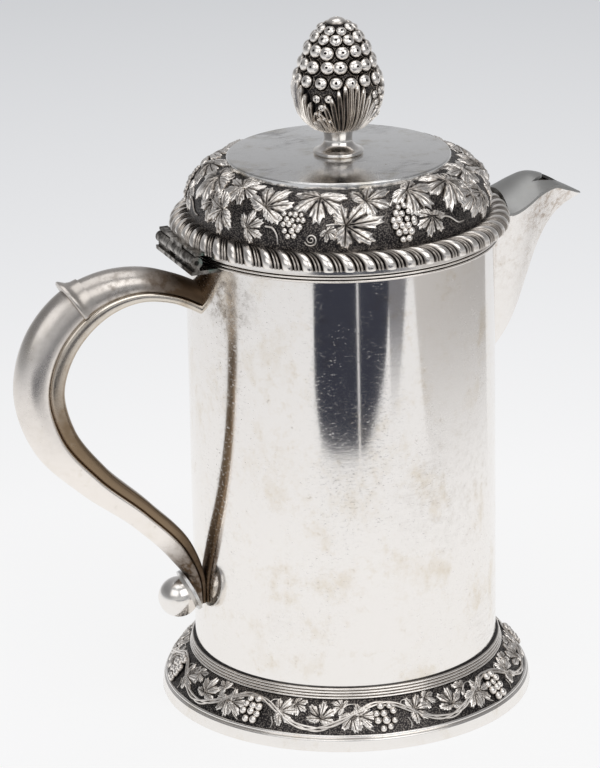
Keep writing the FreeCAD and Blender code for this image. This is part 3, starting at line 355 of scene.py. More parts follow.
# painted shade: the spout cover is a darker copy of satin silver, so that it shows grey
coverShadedFinish = dict(
    satinFinish, clean=(0.43, 0.43, 0.42), warm=(0.39, 0.37, 0.34), smoke=(0.31, 0.31, 0.30), warmth=0.5,
    smokiness=0.5, roughness=0.40,
)
polished = silverMaterial("polished silver", silverLook)
drumSilver = silverMaterial("drum silver", drumFinish)
handleSilver = silverMaterial("handle silver", handleFinish)
stripSilver = silverMaterial("handle strip silver", stripFinish)
spoolSilver = silverMaterial("spool silver", spoolFinishAndShade)
spoutSilver = silverMaterial("spout silver", spoutFinish)
satin = silverMaterial("satin silver", satinFinish)
plateSilver = silverMaterial("plate silver", plateFinish)
coverSilver = silverMaterial("spout cover silver", coverShadedFinish)
chased = chasedMaterial("chased silver", chasedLook)
ground = chasedMaterial("stippled ground", dict(chasedLook, stipple=0.5))
hingeMetal = hingeMaterial("hinge silver", hingeLook)
# the pin is painted almost black: painted shade, so that the knuckle's open end reads as a dark hole
pinShadeFinish = dict(hingeLook, clean=(0.05, 0.045, 0.04), dark=(0.02, 0.018, 0.016))
pinMetal = hingeMaterial("hinge pin", pinShadeFinish)
print("materials ready")


def addObject(name, data):
    thing = bpy.data.objects.new(name, data)
    bpy.context.scene.collection.objects.link(thing)
    return thing


def addMesh(name, points, faces):
    mesh = bpy.data.meshes.new(name)
    mesh.from_pydata(points, [], faces)
    return addObject(name, mesh)


# Mesh building: pieces are gathered as grids of points with a tone for each point.
class Batch:
    def __init__(self):
        self.points = []
        self.tones = []
        self.faces = []
        self.count = 0

    def grid(self, points, tones=1.0, closed=False, cap=False):
        rows, cols = points.shape[:2]
        tones = np.broadcast_to(np.asarray(tones, float), (rows, cols))
        self.points.append(points.reshape(-1, 3))
        self.tones.append(tones.reshape(-1))
        ids = self.count + np.arange(rows * cols).reshape(rows, cols)
        nextIds = np.roll(ids, -1, axis=1)
        last = cols if closed else cols - 1
        quads = np.stack([ids[:-1], nextIds[:-1], nextIds[1:], ids[1:]], axis=-1)[:, :last]
        self.faces.extend(quads.reshape(-1, 4).tolist())
        if cap:
            self.faces.append(ids[-1].tolist())
        self.count += rows * cols

    def make(self, name, body, slot, material, nodes=(), crease=40.0):
        piece = addMesh(name, np.concatenate(self.points).tolist(), self.faces)
        mesh = piece.data
        tone = mesh.attributes.new("tone", "FLOAT", "POINT")
        tone.data.foreach_set("value", np.concatenate(self.tones).astype(np.float32))
        mesh.shade_smooth()
        mesh.set_sharp_from_angle(angle=math.radians(crease))
        mesh.materials.append(material)
        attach(piece, body)
        if nodes:
            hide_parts(*nodes)
        return piece


def gridPiece(name, points, body, slot, material, nodes, tones=1.0, closed=True, cap=False, crease=40.0):
    batch = Batch()
    batch.grid(points, tones, closed, cap)
    return batch.make(name, body, slot, material, nodes, crease)


def arc(centre, radius, start, end, steps):
    turns = np.radians(np.linspace(start, end, steps + 1))
    return [(centre[0] + radius * math.cos(t), centre[1] + radius * math.sin(t)) for t in turns]


def fullTurn(steps):
    return np.linspace(0, 2 * math.pi, steps, endpoint=False)


def turned(outline, tones, segments, close=True):
    # Outline of (radius, height) in millimetres, turned round the pot's axis.
    line = np.array(outline + outline[:1] if close else outline) * mm
    turns = fullTurn(segments)
    points = np.stack([
        line[:, :1] * np.cos(turns),
        line[:, :1] * np.sin(turns),
        np.repeat(line[:, 1:], segments, axis=1),
    ], axis=-1)
    if np.ndim(tones):
        tones = np.array(list(tones) + list(tones[:1]) if close else tones)[:, None]
    return points[:, ::-1], tones


def turnedPiece(name, outline, body, slot, material, nodes, tones=1.0, segments=360, crease=35.0):
    points, tones = turned(outline, tones, segments)
    return gridPiece(name, points, body, slot, material, nodes, tones, crease=crease)


def cutOut(piece, outline, low, high, order=(0, 1, 2), crease=40.0):
    # Cuts a prism out of a piece; order places the outline's two axes and the prism's own among x, y and z.
    line = np.array(outline) * mm
    count = len(line)
    ends = [np.column_stack([line, np.full(count, height * mm)]) for height in (low, high)]
    near = np.arange(count)
    after = np.roll(near, -1)
    faces = np.stack([near, after, after + count, near + count], axis=-1).tolist()
    faces += [near[::-1].tolist(), (near + count).tolist()]
    cutter = addMesh("cutter", np.concatenate(ends)[:, list(order)].tolist(), faces)
    piece.modifiers.new("cut", "BOOLEAN").object = cutter
    bpy.context.view_layer.update()
    cutPiece = piece.evaluated_get(bpy.context.evaluated_depsgraph_get())
    piece.data = bpy.data.meshes.new_from_object(cutPiece)
    piece.data.set_sharp_from_angle(angle=math.radians(crease))
    piece.modifiers.clear()
    bpy.data.objects.remove(cutter)


def runLengths(points):
    return np.concatenate(([0.0], np.cumsum(np.linalg.norm(np.diff(points, axis=0), axis=1))))


def unit(rows):
    return rows / np.linalg.norm(rows, axis=1, keepdims=True)


# A turned surface that ornament lies on: angle round the pot, distance along the outline, lift.
class Skin:
    def __init__(self, outline):
        self.line = np.array(outline) * mm
        self.far = runLengths(self.line)
        along = np.gradient(self.line, self.far, axis=0)
        self.out = unit(np.stack([along[:, 1], -along[:, 0]], axis=-1))

    def radius(self, along):
        return np.interp(along, self.far, self.line[:, 0])

    def alongAt(self, height):
        # Millimetres along the outline at a height in millimetres.
        return float(np.interp(height * mm, self.line[:, 1], self.far)) / mm

    def at(self, angle, along, lift):
        outR = np.interp(along, self.far, self.out[:, 0])
        outZ = np.interp(along, self.far, self.out[:, 1])
        radius = self.radius(along) + lift * outR
        height = np.interp(along, self.far, self.line[:, 1]) + lift * outZ
        return np.stack([radius * np.cos(angle), radius * np.sin(angle), height], axis=-1)

    def stamp(self, place, turn, across, up, lift):
        # place is (degrees on the photograph's near side, millimetres along); turn is leftwards.
        turn = math.radians(turn)
        right = across * math.cos(turn) - up * math.sin(turn)
        rise = across * math.sin(turn) + up * math.cos(turn)
        along = place[1] * mm + rise
        angle = math.radians(place[0] + photoTurn) + right / self.radius(along)
        return self.at(angle, along, lift)


def hump(value, width):
    return np.exp(-((value / width) ** 2))


# Vine leaf: five toothed lobes, each a small pillow with a cut vein, sizes as shares of the leaf's length.
leafLook = {
    "edge": (
        (0, 1.0), (7, 0.93), (13, 0.83), (18, 0.74), (21, 0.58), (24, 0.38), (27, 0.56), (32, 0.74),
        (38, 0.84), (44, 0.92), (49, 0.96), (55, 0.89), (61, 0.79), (66, 0.68), (70, 0.50), (73, 0.34),
        (76, 0.48), (81, 0.63), (89, 0.74), (98, 0.80), (107, 0.70), (120, 0.54), (140, 0.40), (160, 0.24),
        (180, 0.08),
    ),
    "lobes": (0, 48, -48, 97, -97),
    "valleys": (24, -24, 72, -72),
    "valleyWide": 0.05,
    "toothStep": 12.2,
    "toothDepth": 0.17,
    "toothSharp": 0.7,
    "rings": (0.0, 0.1, 0.2, 0.3, 0.4, 0.5, 0.6, 0.7, 0.8, 0.88, 0.95, 1.0),
    "heart": (0.08, 0.28),  # the plain middle ends here, and the blade is full there
    "thickness": 0.065,
    "least": 0.015,
    "pillow": 0.05,
    "pillowSpan": (0.04, 0.96),
    "pillowRound": 0.8,
    "lobeSwell": 0.45,
    "creaseFlat": 0.45,
    "edgeDrop": 0.045,
    "vein": 0.02,
    "veinDepth": 0.035,
    "veinEnd": 0.9,
    "branchStep": 0.155,
    "branchLean": 0.8,
    "branchSlant": 1.28,
    "branchShare": 0.55,
    "branchEnd": 0.86,
    "sway": 0.045,
    "swayWaves": 3,
    "swayMood": (2.5, 3),
    "tone": 0.74,
    "toneLobe": 0.12,
    # a painted highlight along each leaf's edge
    "edgeHighlight": 0.14,
    "toneVein": 0.56,
    "toneCrease": 0.48,
    "skirt": 1.03,
    "skirtDrop": 0.03,
}


def leafGrid(look, angles, mood):
    turns = np.linspace(-180, 180, angles, endpoint=False)
    spin = np.radians(turns)
    reach = np.interp(abs(turns), *np.array(look["edge"]).T)
    wave = abs((turns / look["toothStep"]) % 1 - 0.5) * 2
    reach = reach * (1 - look["toothDepth"] * wave ** look["toothSharp"])
    lobes = np.array(look["lobes"])
    nearest = np.argmin(abs(turns[:, None] - lobes), axis=1)
    lobeMood = mood[nearest]
    off = np.radians(turns - lobes[nearest])
    shares = np.array(look["rings"])[:, None]
    far = shares * reach
    along = far * np.cos(off)
    aside = abs(far * np.sin(off))
    heart, full = look["heart"]
    blade = np.clip((shares - heart) / (full - heart), 0, 1)
    veins = hump(aside, look["vein"]) * (shares < look["veinEnd"])
    branch = (along - look["branchLean"] * aside) / look["branchStep"]
    branch = abs(branch - np.round(branch)) * look["branchStep"] / look["branchSlant"]
    branches = look["branchShare"] * blade * hump(branch, look["vein"]) * (shares < look["branchEnd"])
    veins = np.maximum(veins, branches)
    valley = np.min(abs(turns[:, None] - np.array(look["valleys"])), axis=1)
    crease = hump(far * np.sin(np.radians(np.minimum(valley, 90))), look["valleyWide"]) * blade
    # each lobe swells to its own height, so that neighbours catch the light differently
    first, last = look["pillowSpan"]
    swell = np.sin(np.pi * np.clip(shares * (last - first) + first, 0, 1)) ** look["pillowRound"]
    swell = (1 + look["lobeSwell"] * lobeMood) * swell * (1 - look["creaseFlat"] * crease)
    rock, roll = look["swayMood"]
    sway = look["sway"] * np.sin(look["swayWaves"] * far + rock * mood[0]) * np.cos(spin + roll * mood[1])
    lift = look["thickness"] + look["pillow"] * swell + sway * shares - look["veinDepth"] * veins
    lift = np.maximum(lift - look["edgeDrop"] * shares ** 4, look["least"])
    # a painted highlight brightens each leaf towards its edge
    tone = look["tone"] + look["toneLobe"] * lobeMood + look["edgeHighlight"] * shares ** 3
    tone = tone - look["toneVein"] * veins - look["toneCrease"] * crease
    across = -far * np.sin(spin)
    up = far * np.cos(spin)
    # a last ring goes down into the ground
    across = np.concatenate([across, across[-1:] * look["skirt"]])
    up = np.concatenate([up, up[-1:] * look["skirt"]])
    lift = np.concatenate([lift, np.full((1, angles), -look["skirtDrop"])])
    tone = np.concatenate([tone, np.zeros((1, angles))])
    return across, up, lift, tone


def addLeaf(batch, skin, place, turn, size, wide, angles):
    mood = rng.uniform(-1, 1, len(leafLook["lobes"]))
    across, up, lift, tone = leafGrid(leafLook, angles, mood)
    points = skin.stamp(place, turn, across * wide * size * mm, up * size * mm, lift * size * mm)
    batch.grid(points, tone, closed=True)


# Berry: a ball on the ground; one with a dot is a flattened dome, drilled, in a thin raised cup.
# Rings of radius, height and tone, radius and height as shares of the berry's radius.
berryLook = {
    "ball": (
        (0.91, -0.42, 0.05), (1.0, 0.0, 0.08), (0.94, 0.34, 0.42), (0.77, 0.64, 0.70), (0.53, 0.85, 0.85),
        (0.28, 0.96, 0.92), (0.05, 1.0, 1.0),
    ),
    "cupped": (
        (1.24, -0.25, 0.2), (1.21, 0.10, 0.5), (1.15, 0.16, 0.42), (1.10, 0.04, 0.0), (1.03, -0.05, 0.0),
        (1.0, 0.18, 0.05), (0.95, 0.38, 0.32), (0.84, 0.58, 0.78), (0.64, 0.76, 0.92), (0.40, 0.86, 1.0),
        (0.22, 0.90, 0.95),
    ),
    "drill": ((1.0, 0.90, 0.7), (0.8, 0.80, 0.0), (0.025, 0.76, 0.0)),  # radius as a share of the dot's
}


def addBerry(batch, skin, place, size, sunk, dot=0.0, segments=14):
    radius = size / 2
    turns = fullTurn(segments)
    rings = [(radius * r, radius * h, tone) for r, h, tone in berryLook["cupped" if dot else "ball"]]
    if dot:
        rings += [(dot * r, radius * h, tone) for r, h, tone in berryLook["drill"]]
    rings = np.array(rings)
    across = rings[:, :1] * np.cos(turns) * mm
    up = rings[:, :1] * np.sin(turns) * mm
    lift = (rings[:, 1:2] + radius * (1 - 2 * sunk)) * mm + 0 * across
    batch.grid(skin.stamp(place, 0, across, up, lift), rings[:, 2:], closed=True, cap=True)


# Bunch: rows of berries from the top down, each row shifted by half a berry, in shares of a berry's size.
bunchLook = {
    "pitch": 0.93,
    "row": 0.9,
    "strayAside": 0.10,
    "strayAlong": 0.09,
    "sizes": (0.84, 1.12),
}


def addBunch(batch, skin, top, rows, size, sunk):
    look = bunchLook
    pitch = size * look["pitch"]
    for row, count in enumerate(rows):
        for berry in range(count):
            aside = (berry - (count - 1) / 2) * pitch + rng.normal(0, look["strayAside"] * size)
            along = top[1] - row * pitch * look["row"] + rng.normal(0, look["strayAlong"] * size)
            degrees = top[0] + math.degrees(aside * mm / float(skin.radius(along * mm)))
            addBerry(batch, skin, (degrees, along), size * rng.uniform(*look["sizes"]), sunk)


def smoothLine(points, seg, ask):
    # Catmull-Rom through given points.
    slope = np.gradient(points, seg, axis=0)
    index = np.clip(np.searchsorted(seg, ask, side="right") - 1, 0, len(seg) - 2)
    span = (seg[index + 1] - seg[index])[:, None]
    t = ((ask - seg[index])[:, None]) / span
    start, end = points[index], points[index + 1]
    return (
        (1 + 2 * t) * (1 - t) ** 2 * start + t * (1 - t) ** 2 * span * slope[index]
        + t * t * (3 - 2 * t) * end + t * t * (t - 1) * span * slope[index + 1]
    )


# Stem or tendril: a tube that lies on the ground through points of (degrees, millimetres along).
stemTone = {"side": 0.12, "top": 0.62}


def addStem(batch, skin, route, thick, thin=None, lift=0.5, sides=8, fine=10):
    route = np.array(route, float)
    thin = thick if thin is None else thin
    seg = runLengths(route)
    line = smoothLine(route, seg, np.linspace(0, seg[-1], fine * len(route)))
    angle = np.radians(line[:, 0] + photoTurn)
    middle = skin.at(angle, line[:, 1] * mm, 0.0)
    along = unit(np.gradient(middle, axis=0))
    out = skin.at(angle, line[:, 1] * mm, 1.0) - middle
    side = unit(np.cross(along, out))
    share = np.linspace(0, 1, len(line))
    radius = (thick + (thin - thick) * share) * mm
    turns = fullTurn(sides)
    ring = side[:, None] * np.cos(turns)[:, None] + out[:, None] * (np.sin(turns)[:, None] + lift)
    tone = stemTone["side"] + stemTone["top"] * np.clip(np.sin(turns), 0, 1)
    batch.grid(middle[:, None] + ring * radius[:, None, None], tone, closed=True, cap=True)


def spiral(centre, radius, turns, start, perDegree, steps=10, eye=0.15):
    # Points of a curl that winds in to an eye at its centre.
    share = np.linspace(0, 1, int(steps * turns))
    angle = np.radians(start) + share * turns * 2 * math.pi
    size = radius * (1 - (1 - eye) * share)
    return list(zip(centre[0] + size * np.cos(angle) / perDegree, centre[1] + size * np.sin(angle)))


def growVine(look, skin):
    # What repeats round the pot, gathered by kind: leaves, bunches, stalks and curls.
    leaves, grapes, stems = Batch(), Batch(), Batch()
    perDegree = math.radians(1) * skin.line[0, 0] / mm
    for repeat in range(look["repeats"]):
        shift = 360 / look["repeats"] * repeat
        for (degrees, along), turn, size, wide in look["leaves"]:
            place = (degrees + shift, along)
            addLeaf(leaves, skin, place, turn, size * look["leafGrow"], wide, look["leafAngles"])
        for (degrees, along), rows, size in look["bunches"]:
            addBunch(grapes, skin, (degrees + shift, along), rows, size, look["bunchSunk"])
        for route in look["stalks"]:
            addStem(stems, skin, [(degrees + shift, along) for degrees, along in route], *look["stalkThick"])
        for (degrees, along), radius, turns, start in look["curls"]:
            route = spiral((degrees + shift, along), radius, turns, start, perDegree)
            addStem(stems, skin, route, *look["curlThick"])
    return leaves, grapes, stems


def makeVine(prefix, body, leaves, grapes, stems):
    for name, batch in (("leaves", leaves), ("grapes", grapes), ("stems", stems)):
        batch.make(prefix + name, body, "silver_oxidised", chased)


# Drum, rim, collar and skirt.
drumLook = {
    "radius": 50.0,
    "wall": 1.2,
    "low": 14.2,
    "rim": 157.4,
    "window": ((-3.0, 112.4), (3.0, 112.4), (9.5, 148.4), (-9.5, 148.4)),
    "windowReach": (40.0, 55.0),
    "rimReeds": {
        "low": 154.19, "pitch": 1.07, "count": 3, "root": 50.35, "bulge": 0.95, "taper": 0.0, "sharp": 4.0,
    },
    "collarReeds": {
        "low": 14.2, "pitch": 0.92, "count": 4, "root": 50.45, "bulge": 0.80, "taper": 0.25, "sharp": 1.3,
    },
    "reedInner": 49.9,
    "reedHalf": 80,
    "reedSteps": 15,
    "reedCrest": 1.1,
    "reedValley": 0.05,
}
skirtOutline = (
    [(59.4, 0.0)] + arc((60.9, 0.4), 0.4, -90, 0, 4) + [(61.1, 2.0)]
    + arc((60.4, 3.6), 0.5, 0, 90, 5) + [(60.1, 4.3)] + arc((59.9, 4.9), 0.5, -30, 90, 6)
    + [(57.4, 5.4), (57.4, 4.1), (59.4, 4.1)]
)


def reedOutline(look, low, pitch, count, root, bulge, taper, sharp):
    outline = [(look["reedInner"], low)]
    tones = [look["reedValley"]]
    half = look["reedHalf"]
    for step in range(count):
        base = root + taper * (count - 1 - step)
        for turn in np.radians(np.linspace(-half, half, look["reedSteps"])):
            up = low + pitch * (step + 0.5 + 0.5 * math.sin(turn))
            outline.append((base + bulge * math.cos(turn), up))
            # painted shade: each reed's tone falls from its bright crest to dark in the grooves between reeds
            tones.append(look["reedCrest"] * math.cos(turn) ** sharp)
    outline.append((look["reedInner"], low + pitch * count))
    return outline, tones + [look["reedValley"]]


def buildDrum():
    look = drumLook
    inner, outer = look["radius"] - look["wall"], look["radius"]
    outline = [(inner, look["low"]), (outer, look["low"]), (outer, look["rim"]), (inner, look["rim"])]
    drum = turnedPiece("drum", outline, "pot", "silver_polished", drumSilver, ["body_drum"])
    cutOut(drum, look["window"], *look["windowReach"], order=(2, 0, 1), crease=35.0)
    rings = (("rim_reeds", "rimReeds", "rim_moulding"), ("collar_reeds", "collarReeds", "foot_collar"))
    for name, reeds, node in rings:
        outline, tones = reedOutline(look, **look[reeds])
        turnedPiece(name, outline, "pot", "silver_polished", chased, [node], tones)
    turnedPiece("skirt", skirtOutline, "pot", "silver_polished", polished, ["foot_skirt"])


buildDrum()
print("drum and foot rings ready")


# Foot band: a twisted stem that waves between bunches, with six leaves in each repeat.
footVine = {
    "repeats": 8,
    "outline": [(59.9, 5.0), (59.6, 5.6), (57.9, 8.2), (56.1, 10.6), (54.1, 12.7), (52.2, 14.2)],
    "inside": [(50.6, 14.2), (58.0, 5.4)],
    "groundTone": 0.05,
    "crest": -33.5,
    "middle": 6.1,
    "swing": 4.1,
    "strands": 3,
    "strand": 0.42,
    "strandGap": 0.66,
    "strandStep": 4.5,
    "strandLift": (0.35, 0.4),
    "strandFine": 5,
    "leaves": (  # place in degrees and millimetres, turn, size, share of the full width
        ((-22.5, 6.6), -78, 6.6, 1.0),
        ((-8.5, 5.4), -8, 6.8, 1.0),
        ((1.8, 6.4), -168, 6.2, 1.0),
        ((4.2, 6.2), -86, 6.4, 1.0),
        ((-17.5, 9.8), -118, 4.6, 1.0),
        ((-1.5, 9.6), 62, 4.2, 1.0),
    ),
    "leafGrow": 1.0,
    "leafAngles": 120,
    "bunches": (((-32.3, 9.0), (2, 3, 3, 2), 2.75),),  # place, berries in each row, size of a berry
    "bunchSunk": 0.42,
    "stalks": (
        ((-25, 4.5), (-24.2, 2.5), (-24.6, 0.9)),
        ((-2, 8.5), (0.5, 10.4), (3.0, 10.6)),
        ((-40.0, 5.0), (-39.0, 2.8), (-36.5, 1.2)),
        ((-27.0, 8.0), (-26.0, 10.2), (-23.5, 10.8)),
    ),
    "stalkThick": (0.30, 0.16),
    "curls": (),
}


def buildFoot():
    look = footVine
    skin = Skin(look["outline"])
    band = look["outline"] + look["inside"]
    tone = look["groundTone"]
    turnedPiece("foot_ground", band, "pot", "silver_oxidised", ground, ["foot_band"], tone, crease=40.0)
    leaves, grapes, stems = growVine(look, skin)
    # the strands of the stem wind round each other as they go round the foot
    degrees = np.arange(0, 360 + look["strandStep"], look["strandStep"])
    wave = np.radians((degrees - look["crest"]) * look["repeats"])
    lift, liftSwing = look["strandLift"]
    for strand in range(look["strands"]):
        twist = 2 * wave + 2 * math.pi * strand / look["strands"]
        along = look["middle"] + look["swing"] * np.cos(wave) + look["strandGap"] * np.sin(twist)
        strandLift = lift + liftSwing * math.cos(strand)
        route = list(zip(degrees, along))
        addStem(stems, skin, route, look["strand"], lift=strandLift, fine=look["strandFine"])
    makeVine("foot_", "pot", leaves, grapes, stems)


buildFoot()
print("foot vine ready")


# Lid band: vine leaves in staggered rows, hanging bunches, curls and stalks, repeated round the lid.
lidVine = {
    "repeats": 3,
    "foot": 158.9,
    "low": 163.0,
    "sideTop": 166.5,
    "side": 48.6,
    "round": 13.6,
    "wall": 1.2,
    "hole": 29.0,
    "arcSteps": (24, 12),  # outside and inside
    "groundTone": 0.10,
    "leaves": (  # place in degrees and millimetres, turn, size, share of the full width
        ((-50, 9.8), 122, 9.4, 1.0),
        ((-47, 18.6), 72, 8.0, 1.0),
        ((-46, 18.8), -112, 7.6, 1.0),
        ((-30, 13.3), -28, 10.2, 0.95),
        ((-36.5, 6.2), -62, 6.8, 1.0),
        ((-8, 18.6), 176, 10.0, 1.12),
        ((11, 16.6), -62, 10.0, 0.85),
        ((2.2, 9.0), -84, 13.2, 0.74),
        ((31, 19.0), -140, 10.4, 1.0),
        ((37, 9.0), 165, 7.2, 1.0),
        ((54, 18.6), 146, 12.2, 0.9),
        ((63, 11.0), 112, 8.6, 1.0),
        ((-4.5, 7.4), -140, 4.0, 1.0),
    ),
    "leafGrow": 1.02,
    "leafAngles": 180,
    "bunches": (((-18, 12.0), (4, 5, 4, 3, 2), 1.95), ((24.5, 13.4), (2, 3, 4, 4, 3, 2), 2.3)),
    "bunchSunk": 0.25,
    "stalks": (
        ((-5.0, 9.0), (-2.0, 9.4), (1.5, 9.2)),
        ((9.6, 12.6), (10.4, 14.5), (11, 16.6)),
        ((40.0, 8.6), (45.0, 7.4), (50.0, 4.8), (53.0, 4.6)),
        ((-11.0, 20.4), (-9.2, 20.0), (-8.0, 18.6)),
        ((-19.0, 19.6), (-15.0, 20.6), (-11.0, 20.4)),
        ((-28.5, 7.6), (-25.5, 7.3), (-23.6, 5.2), (-23.2, 2.4)),
        ((20.5, 14.0), (22.0, 15.6), (24.0, 17.5)),
    ),
    "stalkThick": (0.45, 0.3),
    "curls": (((-10.6, 4.6), 2.1, 1.8, 200), ((58.5, 21.0), 2.2, 1.7, 120)),  # place, radius, turns, start
    "curlThick": (0.36, 0.22),
}


def buildLidBand():
    look = lidVine
    side, wall, hole = look["side"], look["wall"], look["hole"]
    centre = (side - look["round"], look["sideTop"])
    top = look["sideTop"] + look["round"]
    outer, inner = look["arcSteps"]
    outline = [(side, look["low"]), (side, look["sideTop"])] + arc(centre, look["round"], 0, 90, outer)[1:]
    inside = arc(centre, look["round"] - wall, 90, 0, inner) + [(side - wall, look["foot"])]
    shape = [(side, look["foot"])] + outline + [(hole, top), (hole, top - wall)] + inside
    tone = look["groundTone"]
    turnedPiece("lid_ground", shape, "lid", "silver_oxidised", ground, ["lid_dome"], tone, crease=40.0)
    makeVine("lid_", "lid", *growVine(look, Skin(outline)))


buildLidBand()
print("lid vine ready")


# Gadroon border: a broad lobe and two thin ridges in each repeat, leaning as they rise.
gadroonLook = {
    "lobes": 52,
    "samples": 22,
    "rows": 22,
    "centre": (50.6, 160.0),
    "bulge": (4.4, 4.2),
    "low": lidVine["foot"],
    "domeSide": lidVine["side"],
    "lean": 0.90,
    "depth": 1.1,
    "fade": 9,  # the hollows run out towards the dome, the later the higher this is
    "crests": ((0.29, 0.30, 1.0), (0.70, 0.075, 0.72), (0.87, 0.075, 0.72)),  # place, half width, height
    "chord": 54.3,
    "tone": (0.02, 1.05, 1.9),  # in the hollows, gain, sharpness
    # painted shade: the lobes darken as they rise towards the dome
    "upperShade": 0.15,
    "innerTone": 0.1,
    "underTone": 0.3,
}


def buildGadroon():
    look = gadroonLook
    share = (np.arange(look["lobes"] * look["samples"]) / look["samples"]) % 1.0
    crest = np.zeros(len(share))
    for place, half, height in look["crests"]:
        off = (share - place + 0.5) % 1 - 0.5
        crest = np.maximum(crest, height * np.sqrt(np.clip(1 - (off / half) ** 2, 0, 1)))
    lowTurn = -math.asin((look["centre"][1] - look["low"]) / look["bulge"][1])
    highTurn = math.acos((look["domeSide"] - look["centre"][0]) / look["bulge"][0])
    rise = np.linspace(0, 1, look["rows"])[:, None]
    turn = lowTurn + (highTurn - lowTurn) * rise
    hollow = look["depth"] * (1 - crest) * (1 - rise ** look["fade"])
    radius = look["centre"][0] + (look["bulge"][0] - hollow) * np.cos(turn)
    height = look["centre"][1] + (look["bulge"][1] - hollow) * np.sin(turn)
    angle = fullTurn(len(share)) - look["lean"] * 2 * math.pi / look["lobes"] * rise ** 2
    across = np.maximum(radius * np.cos(angle), -look["chord"])  # the border stops at the hinge
    points = np.stack([across, radius * np.sin(angle), height], axis=-1) * mm
    base, gain, sharp = look["tone"]
    # the lobes are painted darker as they rise: painted shade on the border's upper part
    tone = np.clip(base + gain * crest ** sharp, 0, 1) * (1 - look["upperShade"] * rise ** 2)
    batch = Batch()
    batch.grid(points, tone, closed=True)
    inner = points[-1:].copy()
    inner[..., 2] = look["low"] * mm
    batch.grid(np.concatenate([points[-1:], inner]), look["innerTone"], closed=True)
    batch.grid(np.concatenate([inner, points[:1]]), look["underTone"], closed=True)
    batch.make("gadroon_border", "lid", "silver_oxidised", chased, ["lid_gadroon_border"], crease=60.0)


buildGadroon()
plateOutline = [(1.5, 180.1), (36.1, 180.1)] + arc((35.4, 181.5), 0.7, 0, 90, 6) + [(1.5, 182.2)]
turnedPiece("top_plate", plateOutline, "lid", "silver_satin", plateSilver, ["lid_top_plate"])
print("lid border and plate ready")


# Finial: spool, fruit with rows of berries, and a calyx of ribbed leaves.
finialLook = {
    "bud": [
        (4.6, 191.4), (8.0, 192.6), (10.2, 194.6), (11.6, 196.6), (12.4, 198.8), (12.8, 201.2), (12.9, 204.0),
        (12.6, 206.8), (11.9, 208.8), (11.0, 210.8), (10.2, 213.3), (9.2, 215.6), (8.2, 218.2), (6.7, 220.3),
        (5.2, 222.8), (3.2, 224.3), (1.2, 225.0), (0.1, 225.1),
    ],
    "budTone": 0.07,
    "budSegments": 160,
    "rows": (  # height, count, first berry's place, size
        (207.8, 16, -25.0, 4.3), (212.4, 15, -18.0, 4.5), (216.7, 13, -17.0, 4.5), (220.2, 11, -3.0, 4.0),
        (223.0, 9, -25.0, 3.4),
    ),
    "stray": (1.2, 0.18),  # degrees and millimetres
    "sizes": (0.95, 1.05),
    "top": (  # radius, height, tone
        (3.3, 224.0, 0.0), (3.25, 224.8, 0.1), (2.95, 225.6, 0.7), (2.2, 226.25, 0.9), (1.2, 226.6, 1.0),
        (0.5, 226.7, 0.9), (0.4, 226.4, 0.0), (0.02, 226.4, 0.0),
    ),
    "topSegments": 24,
    "between": ((-9, 203.0, 2.8), (9, 203.2, 2.9), (-2, 200.2, 2.6)),
    "gapAt": -21.0,
    "berry": (0.46, 0.40, 20),  # share that is sunk, dot, segments
    "leaves": 4,
    "firstLeaf": 18.0,
    "ribs": ((0, 208.6), (8.5, 207.8), (17, 206.4), (26, 204.2), (35, 202.0), (43.5, 199.6)),
    "fill": ((-14, 196.4), (-6, 197.6), (2, 198.0), (10, 197.2)),
    "bore": 1.5,
    "flange": (8.0, 7.4),
    "spool": (182.2, 183.7, 187.0, 191.4),
    "spoolWide": (7.2, 4.5, 5.8),
    "spoolSteps": 16,
}

# One finger of the calyx: widths and lifts in millimetres, the rest as shares of its length or half width.
ribLook = {
    "rows": 24,
    "cols": 15,
    "half": 1.18,
    "rootWide": 0.5,
    "tipFrom": 0.12,
    "tipRound": 7,
    "fan": (0.66, 1.3),
    "start": 0.3,
    "rim": (0.56, 0.24),
    "rimByKeel": 0.8,
    "keel": 0.26,
    "tipRim": (0.93, 0.05),
    "edge": 0.15,
    "curl": (0.45, 0.9, 0.12),
    "bed": 0.15,
    "body": 0.45,
    "rimLift": 1.05,
    "rootRise": (8, 0.35),
    "tone": (0.16, 0.80),
    "rootDark": 0.10,
}


def addRib(batch, skin, centre, off, tip, keel=False):
    # A long finger with a rim on both sides, from the stalk to its rounded tip.
    look = ribLook
    along = np.linspace(0, 1, look["rows"])[:, None]
    aside = np.linspace(-1, 1, look["cols"])
    rounding = np.clip(along * (1 + look["tipFrom"]) - look["tipFrom"], 0, 1) ** look["tipRound"]
    widen = look["rootWide"] + (1 - look["rootWide"]) * along
    width = look["half"] * np.sqrt(np.clip(1 - rounding, 0, 1)) * widen
    root, bend = look["fan"]
    middle = off * (root + (1 - root) * along ** bend)
    up = look["start"] + (tip - look["start"]) * along
    angle = np.radians(centre + middle + photoTurn) + aside * width * mm / skin.radius(up * mm)
    place, wide = look["rim"]
    rims = hump(abs(aside) - place, wide)
    if keel:
        rims = np.maximum(rims * look["rimByKeel"], hump(aside, look["keel"]))
    place, wide = look["tipRim"]
    rims = np.maximum(rims, hump(along - place, wide) * (1 - aside ** 2))  # the rims meet round the tip
    edge = np.clip((1 - abs(aside)) / look["edge"], 0, 1)
    height, place, wide = look["curl"]
    curl = height * hump(along - place, wide)
    steep, least = look["rootRise"]
    grown = edge * (look["body"] + look["rimLift"] * rims + curl) * np.clip(along * steep + least, 0, 1)
    base, gain = look["tone"]
    tone = np.clip(edge * (base + gain * rims) - look["rootDark"] * (1 - along), 0, 1)
    batch.grid(skin.at(angle, up * mm + 0 * aside, (look["bed"] + grown) * mm), tone)


